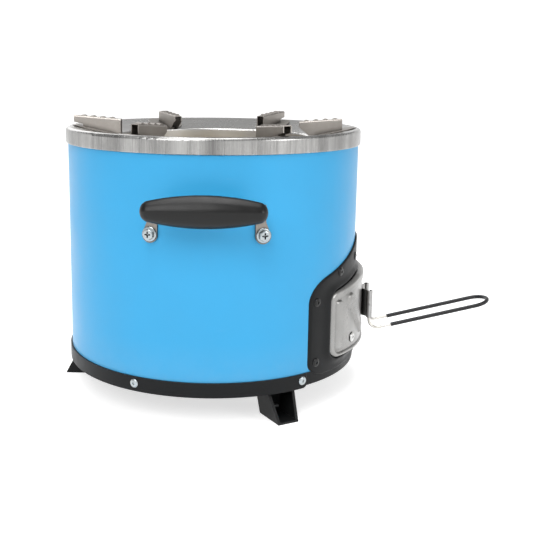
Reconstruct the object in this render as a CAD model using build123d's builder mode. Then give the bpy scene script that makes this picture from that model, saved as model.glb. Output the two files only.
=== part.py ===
from build123d import *
import os
from math import asin, atan2, cos, degrees, radians, sin, sqrt, tan

os.makedirs("parts", exist_ok=True)

# Charcoal cookstove, in millimetres.
# +Z is up, the ash drawer faces -Y, and the origin is on the stove's axis at the ground.
# Angles round the stove are in degrees from the drawer, turning towards +X.

# Clearances
fit_gap = 0.05          # between fixed pieces that nest in or lie on each other
seat_gap = 0.1          # under a piece that is lifted out, and under the pot rests
running_gap = 0.3       # beside and under what slides
overrun = 2.0           # how far a cut runs past the wall that it goes through

# Body
body_radius = 140.0
shell_sheet = 0.8
foot_height = 27.7
skirt_height = 12.3
painted_height = 196.6
ring_height = 14.7

# Base pan and the band round it
pan_sheet = 0.8
pan_bend = 1.6
band_sheet = 0.8
band_drop = 1.0
band_end_gap = 2.4      # between the bezel and each end of the band
band_end_corner = 3.0

# Top ring with its sunk deck
ring_overhang = 1.9
ring_sheet = 1.0
ring_corner = 3.0
ring_curl_bend = 1.1
deck_slope = 12.2
mouth_inset = 44.5      # of the mouth's edge from the drum
lip_depth = 6.0
lip_bend = 1.6

# Fire chamber, its jacket and the plate that carries them
chamber_sheet = 1.2
chamber_straight = 30.0
chamber_bend = 4.0
chamber_taper = 15.5
ledge_width = 10.0
ledge_bend = 1.6
baffle_rise = 15.9      # above the bezel's top rivets
baffle_sheet = 1.2
baffle_flange = 9.0
baffle_bend = 2.0
jacket_inset = 22.0
jacket_sheet = 0.6
air_hole_radius = 3.0
air_hole_count = 20
air_hole_rise = 14.0

# Grate
grate_thickness = 5.0
grate_play = 0.8
grate_hole_radius = 4.5
grate_hole_rings = 3
grate_border = 19.5     # from the outer ring of holes to the edge
grate_holes_per_ring = 6
grate_edge_chamfer = 0.8

# Drawer front, bowed round an axis that lies forward of the stove's own
front_bottom = 46.2
front_side_top = 108.4
front_flat_half_width = 40.0
front_top = 115.8
front_corner = 9.5
front_sheet = 0.8
front_stand = 10.0      # of the face at the middle, from the drum
front_edge_stand = 2.6  # of the face at the sides, from the edge behind it
rim_width = 3.2
rim_height = 1.2
shoulder_side_step = 7.1
shoulder_top_step = 8.1
shoulder_sink = 0.4
side_rib_width = 8.5
side_rib_inset = 8.6
side_rib_bottom_rise = 10.6
side_rib_top_drop = 12.5
rib_height = 1.4
rib_edge = 0.6
v_rib_width = 11.5
v_rib_top_inset = 26.7
v_rib_foot_x = 33.0
v_rib_top_drop = 11.4
v_rib_foot_rise = 15.3
front_rivet_inset = 30.6
front_rivet_rise = 12.2

# Bezel round the drawer opening
bezel_sheet = 1.0
bezel_half_width = 106.9
bezel_side_width = 18.2
bezel_bottom = 34.5
bezel_side_top = 119.0
bezel_flat_half_width = 20.0
bezel_top = 148.6
bezel_corner = 13.0
bezel_shoulder_corner = 24.0
curb_width = 3.4
curb_height = 1.9
curb_gap = 0.9
opening_overlap = 4.5
opening_corner = 3.0
side_rivet_inset = 4.6
side_rivet_bottom_rise = 13.2
side_rivet_top_drop = 15.7
# Upper rivets on each side, in shares of the bezel's half width and of its height
upper_rivet_shares = ((0.696, 0.794), (0.330, 0.855))

# Ash box, runners and tray
box_sheet = 0.8
box_back_inset = 42.0
box_corner = 24.0
runner_sheet = 1.5
runner_leg = 14.0
runner_shelf = 15.0
runner_bend = 2.2
runner_rivet_inset = 30.0
tray_sheet = 0.8
tray_side_gap = 3.1
tray_back_gap = 6.0
tray_corner = 28.0
tray_depth = 40.0
tray_rise = 0.8         # of the tray's floor above the opening's lower edge
tray_roll = 1.5
tray_roll_height = 2.4

# Wire handle of the drawer
bracket_sheet = 1.2
bracket_half_width = 8.0
bracket_height = 27.0
bracket_rise = 19.8     # above the drawer front's lower edge
bracket_standoff = 5.6
bracket_bend = 1.4
roll_shoulder = 3.6
roll_opening_angle = 50.0
crimp_radius = 1.2
crimp_height = 0.5
bracket_rivet_shares = (0.25, 0.75)
wire_radius = 1.4
wire_bore_gap = 0.1
wire_half_pitch = 15.0
wire_end_inset = 1.5
wire_bend = 8.0
wire_corner_z = 53.3
wire_tilt = 14.1
wire_reach = 103.5      # from the upright legs to the start of the end loop
sleeve_wall = 0.45
sleeve_start = 21.8     # bare wire between the upright legs and the sleeve

# Rivets: head radius, head height and shank radius
rivet_head_radius = 4.0
rivet_head_height = 1.3
rivet_shank_radius = 1.6
rivet_core_radius = 1.0
rivet_core_depth = 0.7
small_rivet_head_radius = 2.6
small_rivet_head_height = 1.0
small_rivet_shank_radius = 1.3
bezel_rivet_head_radius = 4.3
front_rivet_head_radius = 4.7
rivet_tail = 1.6
base_rivet_end_turn = 2.0       # of the first rivets from the band's ends, in degrees
base_rivet_side_angle = 116.0

# Feet
foot_angles = (-60.0, 60.0, 180.0)
foot_names = ("foot_front_left", "foot_front_right", "foot_rear")
foot_sheet = 1.5
foot_inset = 6.5        # of the foot's outer edge at its top from the drum
foot_top_depth = 21.5
foot_lean = 15.0        # outwards of the outer edge between its top and the ground
foot_ground_depth = 33.0
foot_top_half_width = 14.0
foot_ground_half_width = 10.2
foot_strip = 2.6
foot_rivet_inset = 10.0
foot_rivet_x = 7.0
foot_tab_width = 4.0
foot_tab_share = 0.5    # of the foot's height at which its tab stands

# Side handles
grip_half_length = 51.4
grip_standoff = 32.0
grip_forward = 1.4
grip_rise = 25.5        # of the grip's middle above the bolts
grip_middle_height = 27.2
grip_middle_thickness = 20.0
grip_end_height = 15.5
grip_end_thickness = 13.0
grip_fullness_share = 0.94      # of the half length at which the middle's extra size has gone
grip_shoulder_share = 0.886     # of the half length at which the rounded end begins
grip_step_count = 16
grip_cap_angles = (25.0, 50.0, 70.0, 80.0)
# Section of the grip from its ridge over the top to its back, in half thicknesses and half heights
grip_section_shares = ((1.0, 0.14), (0.76, 0.62), (0.1, 1.0), (-0.66, 0.74), (-1.0, 0.0))
lug_sheet = 2.0
lug_width = 14.0
lug_neck_width = 9.2
lug_neck_shift = 2.4    # of the neck's middle towards the grip's middle
lug_neck_rise = 11.0    # above the bolt
lug_angle = 19.8
lug_bend = 2.5
lug_bolt_rise = 21.1    # above the baffle plate
lug_end_drop = 7.6
lug_arm_height = 6.5
lug_arm_drop = 3.0      # of the arm's middle below the grip's
lug_pocket_depth = 9.0
bolt_flange_radius = 6.5
bolt_flange_height = 1.3
bolt_hex_radius = 4.9
bolt_head_height = 4.2
bolt_shank_radius = 2.5
bolt_length = 12.0
bolt_hole_gap = 0.3
recess_length = 5.2
recess_width = 1.2
recess_depth = 2.2
nut_hex_radius = 4.6
nut_height = 4.0

# Pot rests: channels on the deck, three that reach further in and three that reach over the rim
inner_rest_angles = (0.0, 120.0, -120.0)
outer_rest_angles = (60.0, 180.0, -60.0)
rest_width = 8.4
rest_sheet = 0.9
rest_corner = 1.5
rest_top_slope = 4.25
rest_top_height = 9.2   # of the outermost top edge above the ring
tooth_height = 1.2
tooth_pitch = 9.2
tooth_length = 6.4
tooth_inset = 0.8
tooth_root = 0.3
inner_rest_reach = 12.5 # past the mouth's edge
inner_rest_inset = 15.8
inner_rest_nose_height = 5.8
inner_rest_chamfer = 11.0
outer_rest_reach = 5.2
outer_rest_inset = 3.8
outer_rest_overhang = 9.0
outer_rest_tip_height = 6.4
outer_rest_root_height = 7.7
flange_inset = 23.0
flange_half_length = 21.0
flange_half_width = 17.5
flange_sheet = 0.9

# Heights and radii that follow
pan_bottom = foot_height
pan_top = pan_bottom + pan_sheet
skirt_top = pan_bottom + skirt_height
ring_bottom = skirt_top + painted_height
ring_top = ring_bottom + ring_height
shell_inner = body_radius - shell_sheet
skirt_inner = body_radius + fit_gap
skirt_outer = skirt_inner + pan_sheet
band_inner = skirt_outer + fit_gap
band_outer = band_inner + band_sheet
ring_radius = body_radius + ring_overhang
mouth_radius = body_radius - mouth_inset
# The deck's line meets the ring's wall here, above the rounded corner
deck_corner_z = ring_top + ring_corner * (tan(radians(deck_slope)) + 1 / cos(radians(deck_slope)) - 1)


def deck_height(radius):
    """Height of the deck's upper face at a radius."""
    return deck_corner_z - (ring_radius - radius) * tan(radians(deck_slope))


mouth_z = deck_height(mouth_radius)
deck_under = ring_sheet / cos(radians(deck_slope)) + fit_gap
top_rivet_z = bezel_bottom + upper_rivet_shares[-1][1] * (bezel_top - bezel_bottom)
baffle_height = top_rivet_z + baffle_rise
baffle_top = baffle_height + baffle_sheet
ledge_bottom = baffle_top + fit_gap
ledge_top = ledge_bottom + chamber_sheet
chamber_outer = mouth_radius - fit_gap
chamber_foot_radius = mouth_radius - chamber_taper
ledge_radius = chamber_foot_radius - ledge_width
jacket_radius = body_radius - jacket_inset
chamber_top = mouth_z - lip_bend
taper_top = chamber_top - chamber_straight
front_half_width = bezel_half_width - bezel_side_width
front_rivet_x = front_half_width - front_rivet_inset
v_rib_top_x = front_half_width - v_rib_top_inset
opening_half_width = front_half_width - opening_overlap
opening_bottom = front_bottom + opening_overlap
box_inner = opening_half_width + fit_gap
box_outer = box_inner + box_sheet
baffle_outer = shell_inner - fit_gap
box_front_radius = baffle_outer - baffle_bend - fit_gap
box_back = body_radius - box_back_inset
tray_half_width = opening_half_width - tray_side_gap
tray_back = box_back - tray_back_gap
tray_floor = opening_bottom + tray_rise
tray_top = tray_floor + tray_depth
bezel_inner = band_inner
bezel_outer = bezel_inner + bezel_sheet
curb_radius = bezel_outer + curb_height
front_edge_radius = bezel_outer + running_gap
field_corner = front_corner - rim_width
# The face's bow passes its middle and both its sides
front_reach = body_radius + front_stand
front_side_reach = sqrt(front_edge_radius ** 2 - front_half_width ** 2) + front_edge_stand
front_sagitta = front_reach - front_side_reach
front_bow = (front_half_width ** 2 + front_sagitta ** 2) / (2 * front_sagitta)
front_axis = front_reach - front_bow
field_bow = front_bow - rim_height
shoulder_bow = front_bow - shoulder_sink
front_inner_bow = field_bow - front_sheet
tray_bow = front_inner_bow - fit_gap
band_end_x = bezel_half_width + band_end_gap
base_rivet_end_angle = degrees(asin(band_end_x / band_outer)) + base_rivet_end_turn
base_rivet_angles = (
    -base_rivet_end_angle, base_rivet_end_angle, -base_rivet_side_angle, base_rivet_side_angle, 180.0
)
foot_top_outer = body_radius - foot_inset
foot_top_inner = foot_top_outer - foot_top_depth
foot_ground_outer = foot_top_outer + foot_lean
foot_ground_inner = foot_ground_outer - foot_ground_depth
foot_rivet_radius = foot_top_inner + foot_rivet_inset
bracket_bottom = front_bottom + bracket_rise
bracket_top = bracket_bottom + bracket_height
bracket_plate_y = -(front_axis + field_bow + fit_gap + bracket_sheet / 2)
roll_centre_y = -(front_axis + field_bow + bracket_standoff + bracket_sheet)
roll_radius = wire_radius + wire_bore_gap + bracket_sheet / 2
sleeve_inner = wire_radius + fit_gap
sleeve_outer = sleeve_inner + sleeve_wall
grip_reach = body_radius + grip_standoff
handle_angle = 90 - degrees(asin(grip_forward / body_radius))
lug_bolt_z = baffle_height + lug_bolt_rise
grip_centre_z = lug_bolt_z + grip_rise
lug_eye_z = lug_bolt_z - lug_end_drop + lug_width / 2
lug_neck_z = lug_bolt_z + lug_neck_rise
lug_arm_bottom = grip_centre_z - lug_arm_drop - lug_arm_height / 2
lug_arm_top = lug_arm_bottom + lug_arm_height
lug_seat = body_radius + fit_gap
bolt_seat = lug_seat + lug_sheet + fit_gap
inner_rest_inner = mouth_radius - inner_rest_reach
inner_rest_outer = body_radius - inner_rest_inset
outer_rest_inner = mouth_radius - outer_rest_reach
outer_rest_outer = body_radius - outer_rest_inset
flange_centre = body_radius - flange_inset


def facing(angle, radius=0.0, height=0.0, forward=0.0):
    """Upright plane that faces outwards at an angle about an axis that may lie forward, with Y up."""
    outward = Vector(sin(radians(angle)), -cos(radians(angle)), 0)
    side = (cos(radians(angle)), sin(radians(angle)), 0)
    return Plane(origin=outward * radius + Vector(0, -forward, height), x_dir=side, z_dir=outward)


def turned(angle):
    """Place at an angle round the stove for a piece that is drawn at the drawer."""
    return Location((0, 0, 0), (0, 0, angle))


def bent_sheet(points, bend, sheet, side):
    """Section of a bent sheet, with one face on the points, as radius and height."""
    with BuildSketch(Plane.XZ) as section:
        with BuildLine():
            FilletPolyline(*points, radius=bend)
            offset(amount=sheet, side=side)
        make_face()
    return section.sketch


def front_outline(half_width, bottom, side_top, flat_half_width, top, corner, shoulder_corner):
    """Outline of the drawer front and what follows it, seen from the front."""
    with BuildSketch(facing(0)) as outline:
        with BuildLine():
            Polyline(
                (-half_width, bottom),
                (half_width, bottom),
                (half_width, side_top),
                (flat_half_width, top),
                (-flat_half_width, top),
                (-half_width, side_top),
                close=True,
            )
        make_face()
        fillet(outline.vertices().group_by(Axis.Y)[1], shoulder_corner)
        fillet(outline.vertices().group_by(Axis.Y)[0], corner)
        fillet(outline.vertices().group_by(Axis.Y)[-1], corner)
    return outline.sketch


def grown_front(margin):
    """Drawer front's outline, moved out on all sides by a margin, or in by a negative one."""
    with BuildSketch(facing(0)) as outline:
        add(front_outline(
            front_half_width, front_bottom, front_side_top, front_flat_half_width, front_top,
            front_corner, front_corner,
        ))
        if margin:
            offset(amount=margin)
    return outline.sketch


def between(outer_sketch, inner_sketch):
    """Region inside one outline and outside another, seen from the front."""
    with BuildSketch(facing(0)) as region:
        add(outer_sketch)
        add(inner_sketch, mode=Mode.SUBTRACT)
    return region.sketch


def curved_plate(outline, inner_radius, outer_radius, forward=0.0):
    """Plate bent round the stove's axis or one forward of it, with an outline seen from the front."""
    with BuildPart() as plate:
        extrude(outline, amount=forward + outer_radius + overrun)
        with BuildSketch(Plane.XY) as wall:
            with Locations((0, -forward)):
                Circle(outer_radius)
                Circle(inner_radius, mode=Mode.SUBTRACT)
        extrude(wall.sketch, amount=ring_top, mode=Mode.INTERSECT)
    return plate.part


def bowed_plate(outline, inner_radius, outer_radius):
    """Plate bent like the drawer front, with the given outline seen from the front."""
    return curved_plate(outline, inner_radius, outer_radius, forward=front_axis)


def bay(half_width, back, corner, front_radius, forward=0.0):
    """Plan of the ash box or the tray: straight sides, round back corners, round front."""
    with BuildSketch() as plan:
        with BuildLine():
            Polyline(
                (-half_width, -forward - front_radius),
                (-half_width, back),
                (half_width, back),
                (half_width, -forward - front_radius),
                close=True,
            )
        make_face()
        fillet(plan.vertices().group_by(Axis.Y)[-1], corner)
        with Locations((0, -forward)):
            Circle(front_radius, mode=Mode.INTERSECT)
    return plan.sketch


def save(builder, label):
    """Label a finished piece and write it."""
    builder.part.label = label
    export_step(builder.part, "parts/" + label + ".step")


# Outer shell, a painted drum with the drawer opening in its front
opening = front_outline(
    opening_half_width,
    opening_bottom,
    front_side_top - opening_overlap,
    front_flat_half_width,
    front_top - opening_overlap,
    opening_corner,
    opening_corner,
)
shell_bottom = pan_bottom + pan_bend + fit_gap
shell_top = ring_top - ring_corner
lug_bolt_angles = [side + turn for side in (-handle_angle, handle_angle) for turn in (-lug_angle, lug_angle)]
bolt_hole_radius = bolt_shank_radius + bolt_hole_gap
rivet_hole_radius = rivet_shank_radius + fit_gap
small_hole_radius = small_rivet_shank_radius + fit_gap


def bezel_rivet_places():
    """Distance from the middle and height of each rivet on one side of the bezel."""
    side_x = bezel_half_width - side_rivet_inset
    places = [
        (side_x, bezel_bottom + side_rivet_bottom_rise),
        (side_x, bezel_side_top - side_rivet_top_drop),
    ]
    for across, up in upper_rivet_shares:
        places.append((across * bezel_half_width, bezel_bottom + up * (bezel_top - bezel_bottom)))
    return places


def bezel_rivet_planes(radius):
    """Planes of all bezel rivets, at a radius."""
    planes = []
    for x, z in bezel_rivet_places():
        angle = degrees(asin(x / bezel_outer))
        planes.append(facing(angle, radius, z))
        planes.append(facing(-angle, radius, z))
    return planes


def base_rivet_planes(radius):
    """Planes of the rivets in the base band, at a radius."""
    return [facing(angle, radius, (pan_bottom + skirt_top) / 2) for angle in base_rivet_angles]


def foot_rivet_planes(height):
    """Planes of the rivets that hold the feet, facing down at a height."""
    return [
        Plane(turned(angle) * Location((x, -foot_rivet_radius, height), (180, 0, 0)))
        for angle in foot_angles
        for x in (-foot_rivet_x, foot_rivet_x)
    ]


def bolt_planes(radius):
    """Planes of the four handle bolts, at a radius."""
    return [facing(angle, radius, lug_bolt_z) for angle in lug_bolt_angles]


with BuildPart() as outer_shell:
    with BuildSketch(Plane.XY.offset(shell_bottom)):
        Circle(body_radius)
        Circle(shell_inner, mode=Mode.SUBTRACT)
    extrude(amount=shell_top - shell_bottom)
    extrude(opening, amount=body_radius + overrun, mode=Mode.SUBTRACT)
    with Locations(*bolt_planes(body_radius + overrun)):
        Hole(bolt_hole_radius, depth=shell_sheet + 2 * overrun)
    with Locations(*bezel_rivet_planes(body_radius + overrun), *base_rivet_planes(body_radius + overrun)):
        Hole(rivet_hole_radius, depth=shell_sheet + 2 * overrun)
save(outer_shell, "outer_shell")

# Base pan, a shallow dish whose skirt holds the foot of the shell
with BuildPart() as base_pan:
    revolve(bent_sheet(
        [(0, pan_bottom), (skirt_outer, pan_bottom), (skirt_outer, skirt_top)],
        pan_bend, pan_sheet, Side.LEFT,
    ), axis=Axis.Z)
    with Locations(*base_rivet_planes(skirt_outer + overrun)):
        Hole(rivet_hole_radius, depth=pan_sheet + 2 * overrun)
    with Locations(*foot_rivet_planes(pan_bottom - overrun)):
        Hole(small_hole_radius, depth=pan_sheet + 2 * overrun)
save(base_pan, "base_pan")

# Base band, a strip round the skirt that stops short of the bezel on both sides
with BuildPart() as base_band:
    band_bottom = pan_bottom - band_drop
    with BuildSketch(Plane.XY.offset(band_bottom)):
        Circle(band_outer)
        Circle(band_inner, mode=Mode.SUBTRACT)
    extrude(amount=skirt_top - band_bottom)
    with BuildSketch(facing(0)):
        with Locations((0, band_bottom)):
            Rectangle(2 * band_end_x, 2 * (skirt_top - band_bottom + overrun))
        corner_x = band_end_x + band_end_corner / 2
        corner_z = band_bottom + band_end_corner / 2
        with Locations((-corner_x, corner_z), (corner_x, corner_z)):
            Rectangle(band_end_corner, band_end_corner)
        round_x = band_end_x + band_end_corner
        round_z = band_bottom + band_end_corner
        with Locations((-round_x, round_z), (round_x, round_z)):
            Circle(band_end_corner, mode=Mode.SUBTRACT)
    extrude(amount=band_outer + overrun, mode=Mode.SUBTRACT)
    with Locations(*base_rivet_planes(band_outer + overrun)):
        Hole(rivet_hole_radius, depth=band_sheet + 2 * overrun)
save(base_band, "base_band")

# Top ring: a curl under the rim, the wall, the sunk deck and a lip into the fire chamber
with BuildPart() as top_ring:
    with BuildSketch(Plane.XZ):
        with BuildLine():
            FilletPolyline(
                (body_radius + fit_gap, ring_bottom),
                (ring_radius, ring_bottom),
                (ring_radius, deck_corner_z),
                (mouth_radius, mouth_z),
                (mouth_radius, mouth_z - lip_depth),
                radius=[ring_curl_bend, ring_corner, lip_bend],
            )
            offset(amount=ring_sheet, side=Side.LEFT)
        make_face()
    revolve(axis=Axis.Z)
save(top_ring, "top_ring")

# Baffle plate that carries the fire chamber inside the shell, with its flange turned up
with BuildPart() as baffle_plate:
    flange_top = baffle_height + baffle_flange
    revolve(bent_sheet(
        [(ledge_radius, baffle_height), (baffle_outer, baffle_height), (baffle_outer, flange_top)],
        baffle_bend, baffle_sheet, Side.LEFT,
    ), axis=Axis.Z)
save(baffle_plate, "baffle_plate")

# Fire chamber: straight at the top, tapered below, with a ledge for the grate
with BuildPart() as fire_chamber:
    with BuildSketch(Plane.XZ):
        with BuildLine():
            FilletPolyline(
                (chamber_outer, chamber_top),
                (chamber_outer, taper_top),
                (chamber_foot_radius, ledge_bottom),
                (ledge_radius, ledge_bottom),
                radius=[chamber_bend, ledge_bend],
            )
            offset(amount=chamber_sheet, side=Side.RIGHT)
        make_face()
    revolve(axis=Axis.Z)
    with Locations(*[
        facing(turn * 360 / air_hole_count, chamber_outer + overrun, ledge_top + air_hole_rise)
        for turn in range(air_hole_count)
    ]):
        Hole(air_hole_radius, depth=chamber_outer - chamber_foot_radius + 2 * overrun)
save(fire_chamber, "fire_chamber")

# Jacket round the insulation
with BuildPart() as inner_jacket:
    jacket_bottom = baffle_top + fit_gap
    jacket_inner = jacket_radius - jacket_sheet
    with BuildSketch(Plane.XY.offset(jacket_bottom)):
        Circle(jacket_radius)
        Circle(jacket_inner, mode=Mode.SUBTRACT)
    extrude(amount=deck_height(jacket_inner) - deck_under - jacket_bottom)
save(inner_jacket, "inner_jacket")

# Insulation, a fibre blanket that fills the space round the chamber
with BuildPart() as insulation:
    blanket_top = mouth_z - lip_depth - fit_gap
    chamber_side = chamber_outer + running_gap
    chamber_foot = chamber_foot_radius + running_gap
    with BuildSketch(Plane.XZ):
        with BuildLine():
            Polyline(
                (chamber_side, blanket_top),
                (jacket_inner - running_gap, blanket_top),
                (jacket_inner - running_gap, jacket_bottom),
                (chamber_foot, jacket_bottom),
                (chamber_side, taper_top),
                close=True,
            )
        make_face()
    revolve(axis=Axis.Z)
save(insulation, "insulation")

# Grate, a drilled disc that lies on the ledge and lifts out through the mouth
wall_slope = (chamber_outer - chamber_foot_radius) / (taper_top - ledge_bottom)
wall_inset = chamber_sheet * sqrt(1 + wall_slope ** 2)
grate_bottom = ledge_top + seat_gap
grate_radius = chamber_foot_radius - wall_inset - grate_play
grate_ring_pitch = (grate_radius - grate_border) / grate_hole_rings
with BuildPart() as charcoal_grate:
    with BuildSketch(Plane.XY.offset(grate_bottom)):
        Circle(grate_radius)
        Circle(grate_hole_radius, mode=Mode.SUBTRACT)
        for ring in range(1, grate_hole_rings + 1):
            with PolarLocations(ring * grate_ring_pitch, ring * grate_holes_per_ring):
                Circle(grate_hole_radius, mode=Mode.SUBTRACT)
    extrude(amount=grate_thickness)
    rims = charcoal_grate.edges().filter_by(GeomType.CIRCLE).sort_by(SortBy.RADIUS)[-2:]
    chamfer(rims, grate_edge_chamfer)
save(charcoal_grate, "charcoal_grate")

# Ash box, a sheet wall that closes the space behind the drawer opening
runner_outer = box_inner - fit_gap
runner_top = tray_floor - running_gap
runner_rivet_z = runner_top - runner_leg / 2
runner_front = -sqrt(box_front_radius ** 2 - box_outer ** 2)
runner_back = box_back - box_corner
runner_rivet_places = (runner_front + runner_rivet_inset, runner_back - runner_rivet_inset)
with BuildPart() as ash_box:
    with BuildSketch(Plane.XY.offset(pan_top + fit_gap)):
        add(bay(box_outer, box_back, box_corner, box_front_radius))
        add(bay(box_inner, box_back - box_sheet, box_corner - box_sheet, body_radius), mode=Mode.SUBTRACT)
    extrude(amount=baffle_height - pan_top - 2 * fit_gap)
    with Locations(*[
        Plane(origin=(side * (box_outer + overrun), y, runner_rivet_z), x_dir=(0, side, 0), z_dir=(side, 0, 0))
        for side in (-1, 1)
        for y in runner_rivet_places
    ]):
        Hole(small_hole_radius, depth=box_sheet + 2 * overrun)
save(ash_box, "ash_box")

# Runners, one angle on each side wall of the ash box
for side, name in ((-1, "drawer_runner_left"), (1, "drawer_runner_right")):
    with BuildPart() as runner:
        with BuildSketch(Plane.XZ.offset(-runner_back)):
            with BuildLine():
                FilletPolyline(
                    (side * runner_outer, runner_top - runner_leg),
                    (side * runner_outer, runner_top),
                    (side * (runner_outer - runner_shelf), runner_top),
                    radius=runner_bend,
                )
                offset(amount=runner_sheet, side=Side.LEFT if side > 0 else Side.RIGHT)
            make_face()
        extrude(amount=runner_back - runner_front)
        with Locations(*[
            Plane(
                origin=(side * (runner_outer - runner_sheet - overrun), y, runner_rivet_z),
                x_dir=(0, side, 0),
                z_dir=(-side, 0, 0),
            )
            for y in runner_rivet_places
        ]):
            Hole(small_hole_radius, depth=runner_sheet + 2 * overrun)
    save(runner, name)


def rivet(head_radius, head_height, shank_radius, grip):
    """Blind rivet along Z: a domed head with a sunk core, and a swollen tail."""
    dome = (head_radius ** 2 + head_height ** 2) / (2 * head_height)
    with BuildPart() as piece:
        with BuildSketch(Plane.XY.offset(-grip)):
            Circle(shank_radius)
        extrude(amount=grip)
        with BuildSketch(Plane.XY.offset(-grip)):
            Circle(shank_radius + shank_radius / 2)
        extrude(amount=-rivet_tail)
        with BuildSketch(Plane.XZ):
            with BuildLine():
                Line((0, 0), (head_radius, 0))
                RadiusArc((head_radius, 0), (0, head_height), -dome)
                Line((0, head_height), (0, 0))
            make_face()
        revolve(axis=Axis.Z)
        with BuildSketch(Plane.XY.offset(head_height)):
            Circle(rivet_core_radius)
        extrude(amount=-rivet_core_depth, mode=Mode.SUBTRACT)
    return piece.part


# Rivets of the base band
with BuildPart() as base_rivets:
    stack = band_outer - sqrt(shell_inner ** 2 - (2 * rivet_shank_radius) ** 2)
    with Locations(*base_rivet_planes(band_outer + fit_gap)):
        add(rivet(rivet_head_radius, rivet_head_height, rivet_shank_radius, stack + 2 * fit_gap))
save(base_rivets, "base_rivets")

# Rivets that hold the runners
with BuildPart() as runner_rivets:
    with Locations(*[
        Plane(
            origin=(side * (runner_outer - runner_sheet - fit_gap), y, runner_rivet_z),
            x_dir=(0, side, 0),
            z_dir=(-side, 0, 0),
        )
        for side in (-1, 1)
        for y in runner_rivet_places
    ]):
        add(rivet(
            small_rivet_head_radius,
            small_rivet_head_height,
            small_rivet_shank_radius,
            runner_sheet + box_sheet + 4 * fit_gap,
        ))
save(runner_rivets, "runner_rivets")

# Feet: folded channels that open outwards, riveted under the pan
foot_top = pan_bottom - fit_gap


def foot_form(inset, floor, roof, front_extra):
    """Tapered block between two heights inside a foot, inset from its sides and its back."""
    with BuildPart() as block:
        for height in (floor, roof):
            share = height / foot_top
            half_width = foot_ground_half_width + share * (foot_top_half_width - foot_ground_half_width)
            back = foot_ground_inner + share * (foot_top_inner - foot_ground_inner) + min(inset, foot_sheet)
            front = foot_ground_outer + share * (foot_top_outer - foot_ground_outer) + front_extra
            with BuildSketch(Plane.XY.offset(height)):
                with Locations((0, -(back + front) / 2)):
                    Rectangle(2 * (half_width - inset), front - back)
        loft(ruled=True)
    return block.part


with BuildPart() as foot_shape:
    add(foot_form(0.0, 0.0, foot_top, 0.0))
    add(foot_form(foot_sheet, foot_sheet, foot_top - foot_sheet, -foot_sheet), mode=Mode.SUBTRACT)
    add(foot_form(foot_strip, foot_sheet, foot_top - foot_sheet, overrun), mode=Mode.SUBTRACT)
    tab_z = foot_top * foot_tab_share
    tab_front = foot_ground_outer + foot_tab_share * (foot_top_outer - foot_ground_outer) - foot_sheet
    with BuildSketch(Plane.XY.offset(tab_z)):
        with Locations((-foot_ground_half_width + foot_strip, -tab_front)):
            Rectangle(2 * foot_strip, foot_tab_width, align=(Align.CENTER, Align.MIN))
    extrude(amount=foot_sheet)
    with BuildSketch(Plane.XY.offset(foot_top)):
        with Locations((-foot_rivet_x, -foot_rivet_radius), (foot_rivet_x, -foot_rivet_radius)):
            Circle(small_hole_radius)
    extrude(amount=-foot_sheet, mode=Mode.SUBTRACT)

for angle, name in zip(foot_angles, foot_names):
    with BuildPart() as foot:
        with Locations(turned(angle)):
            add(foot_shape.part)
    save(foot, name)

# Rivets that hold the feet, their heads inside the feet
with BuildPart() as foot_rivets:
    with Locations(*foot_rivet_planes(foot_top - foot_sheet - fit_gap)):
        add(rivet(
            small_rivet_head_radius,
            small_rivet_head_height,
            small_rivet_shank_radius,
            foot_sheet + pan_sheet + 3 * fit_gap,
        ))
save(foot_rivets, "foot_rivets")

# Bezel: a plate bent round the shell, its edge turned in, with a raised curb round the opening
with BuildPart() as door_bezel:
    bezel_outline = front_outline(
        bezel_half_width, bezel_bottom, bezel_side_top, bezel_flat_half_width, bezel_top,
        bezel_corner, bezel_shoulder_corner,
    )
    with BuildSketch(facing(0)) as bezel_core:
        add(bezel_outline)
        offset(amount=-bezel_sheet)
    add(curved_plate(between(bezel_outline, bezel_core.sketch), body_radius + fit_gap, bezel_outer))
    with BuildSketch(Plane.XY):
        Circle(bezel_inner)
    extrude(amount=skirt_top + fit_gap, mode=Mode.SUBTRACT)
    add(curved_plate(bezel_outline, bezel_inner, bezel_outer))
    add(curved_plate(grown_front(curb_gap + curb_width), bezel_inner, curb_radius))
    groove = between(grown_front(curb_gap + curb_width - bezel_sheet), grown_front(curb_gap + bezel_sheet))
    add(curved_plate(groove, body_radius, curb_radius - bezel_sheet), mode=Mode.SUBTRACT)
    add(curved_plate(grown_front(curb_gap), bezel_outer, curb_radius + overrun), mode=Mode.SUBTRACT)
    extrude(opening, amount=curb_radius + overrun, mode=Mode.SUBTRACT)
    with Locations(*bezel_rivet_planes(bezel_outer + overrun)):
        Hole(rivet_hole_radius, depth=bezel_sheet + 2 * overrun)
save(door_bezel, "door_bezel")

# Rivets of the bezel
with BuildPart() as bezel_rivets:
    stack = bezel_outer - sqrt(shell_inner ** 2 - (2 * rivet_shank_radius) ** 2)
    with Locations(*bezel_rivet_planes(bezel_outer + fit_gap)):
        add(rivet(bezel_rivet_head_radius, rivet_head_height, rivet_shank_radius, stack + 2 * fit_gap))
save(bezel_rivets, "bezel_rivets")

# Ash tray: an open box with a bowed front wall and a rolled rim
front_rivet_z = front_bottom + front_rivet_rise
front_rivet_angle = degrees(asin(front_rivet_x / front_bow))
bracket_rivet_heights = [bracket_bottom + share * bracket_height for share in bracket_rivet_shares]


def front_rivet_planes(bow):
    """Planes of the two rivets that join the tray and its front, at a bow radius."""
    return [facing(angle, bow, front_rivet_z, front_axis) for angle in (-front_rivet_angle, front_rivet_angle)]


def bracket_rivet_planes(bow):
    """Planes of the two rivets that hold the bracket, at a bow radius."""
    return [facing(0, bow, height, front_axis) for height in bracket_rivet_heights]


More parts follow.
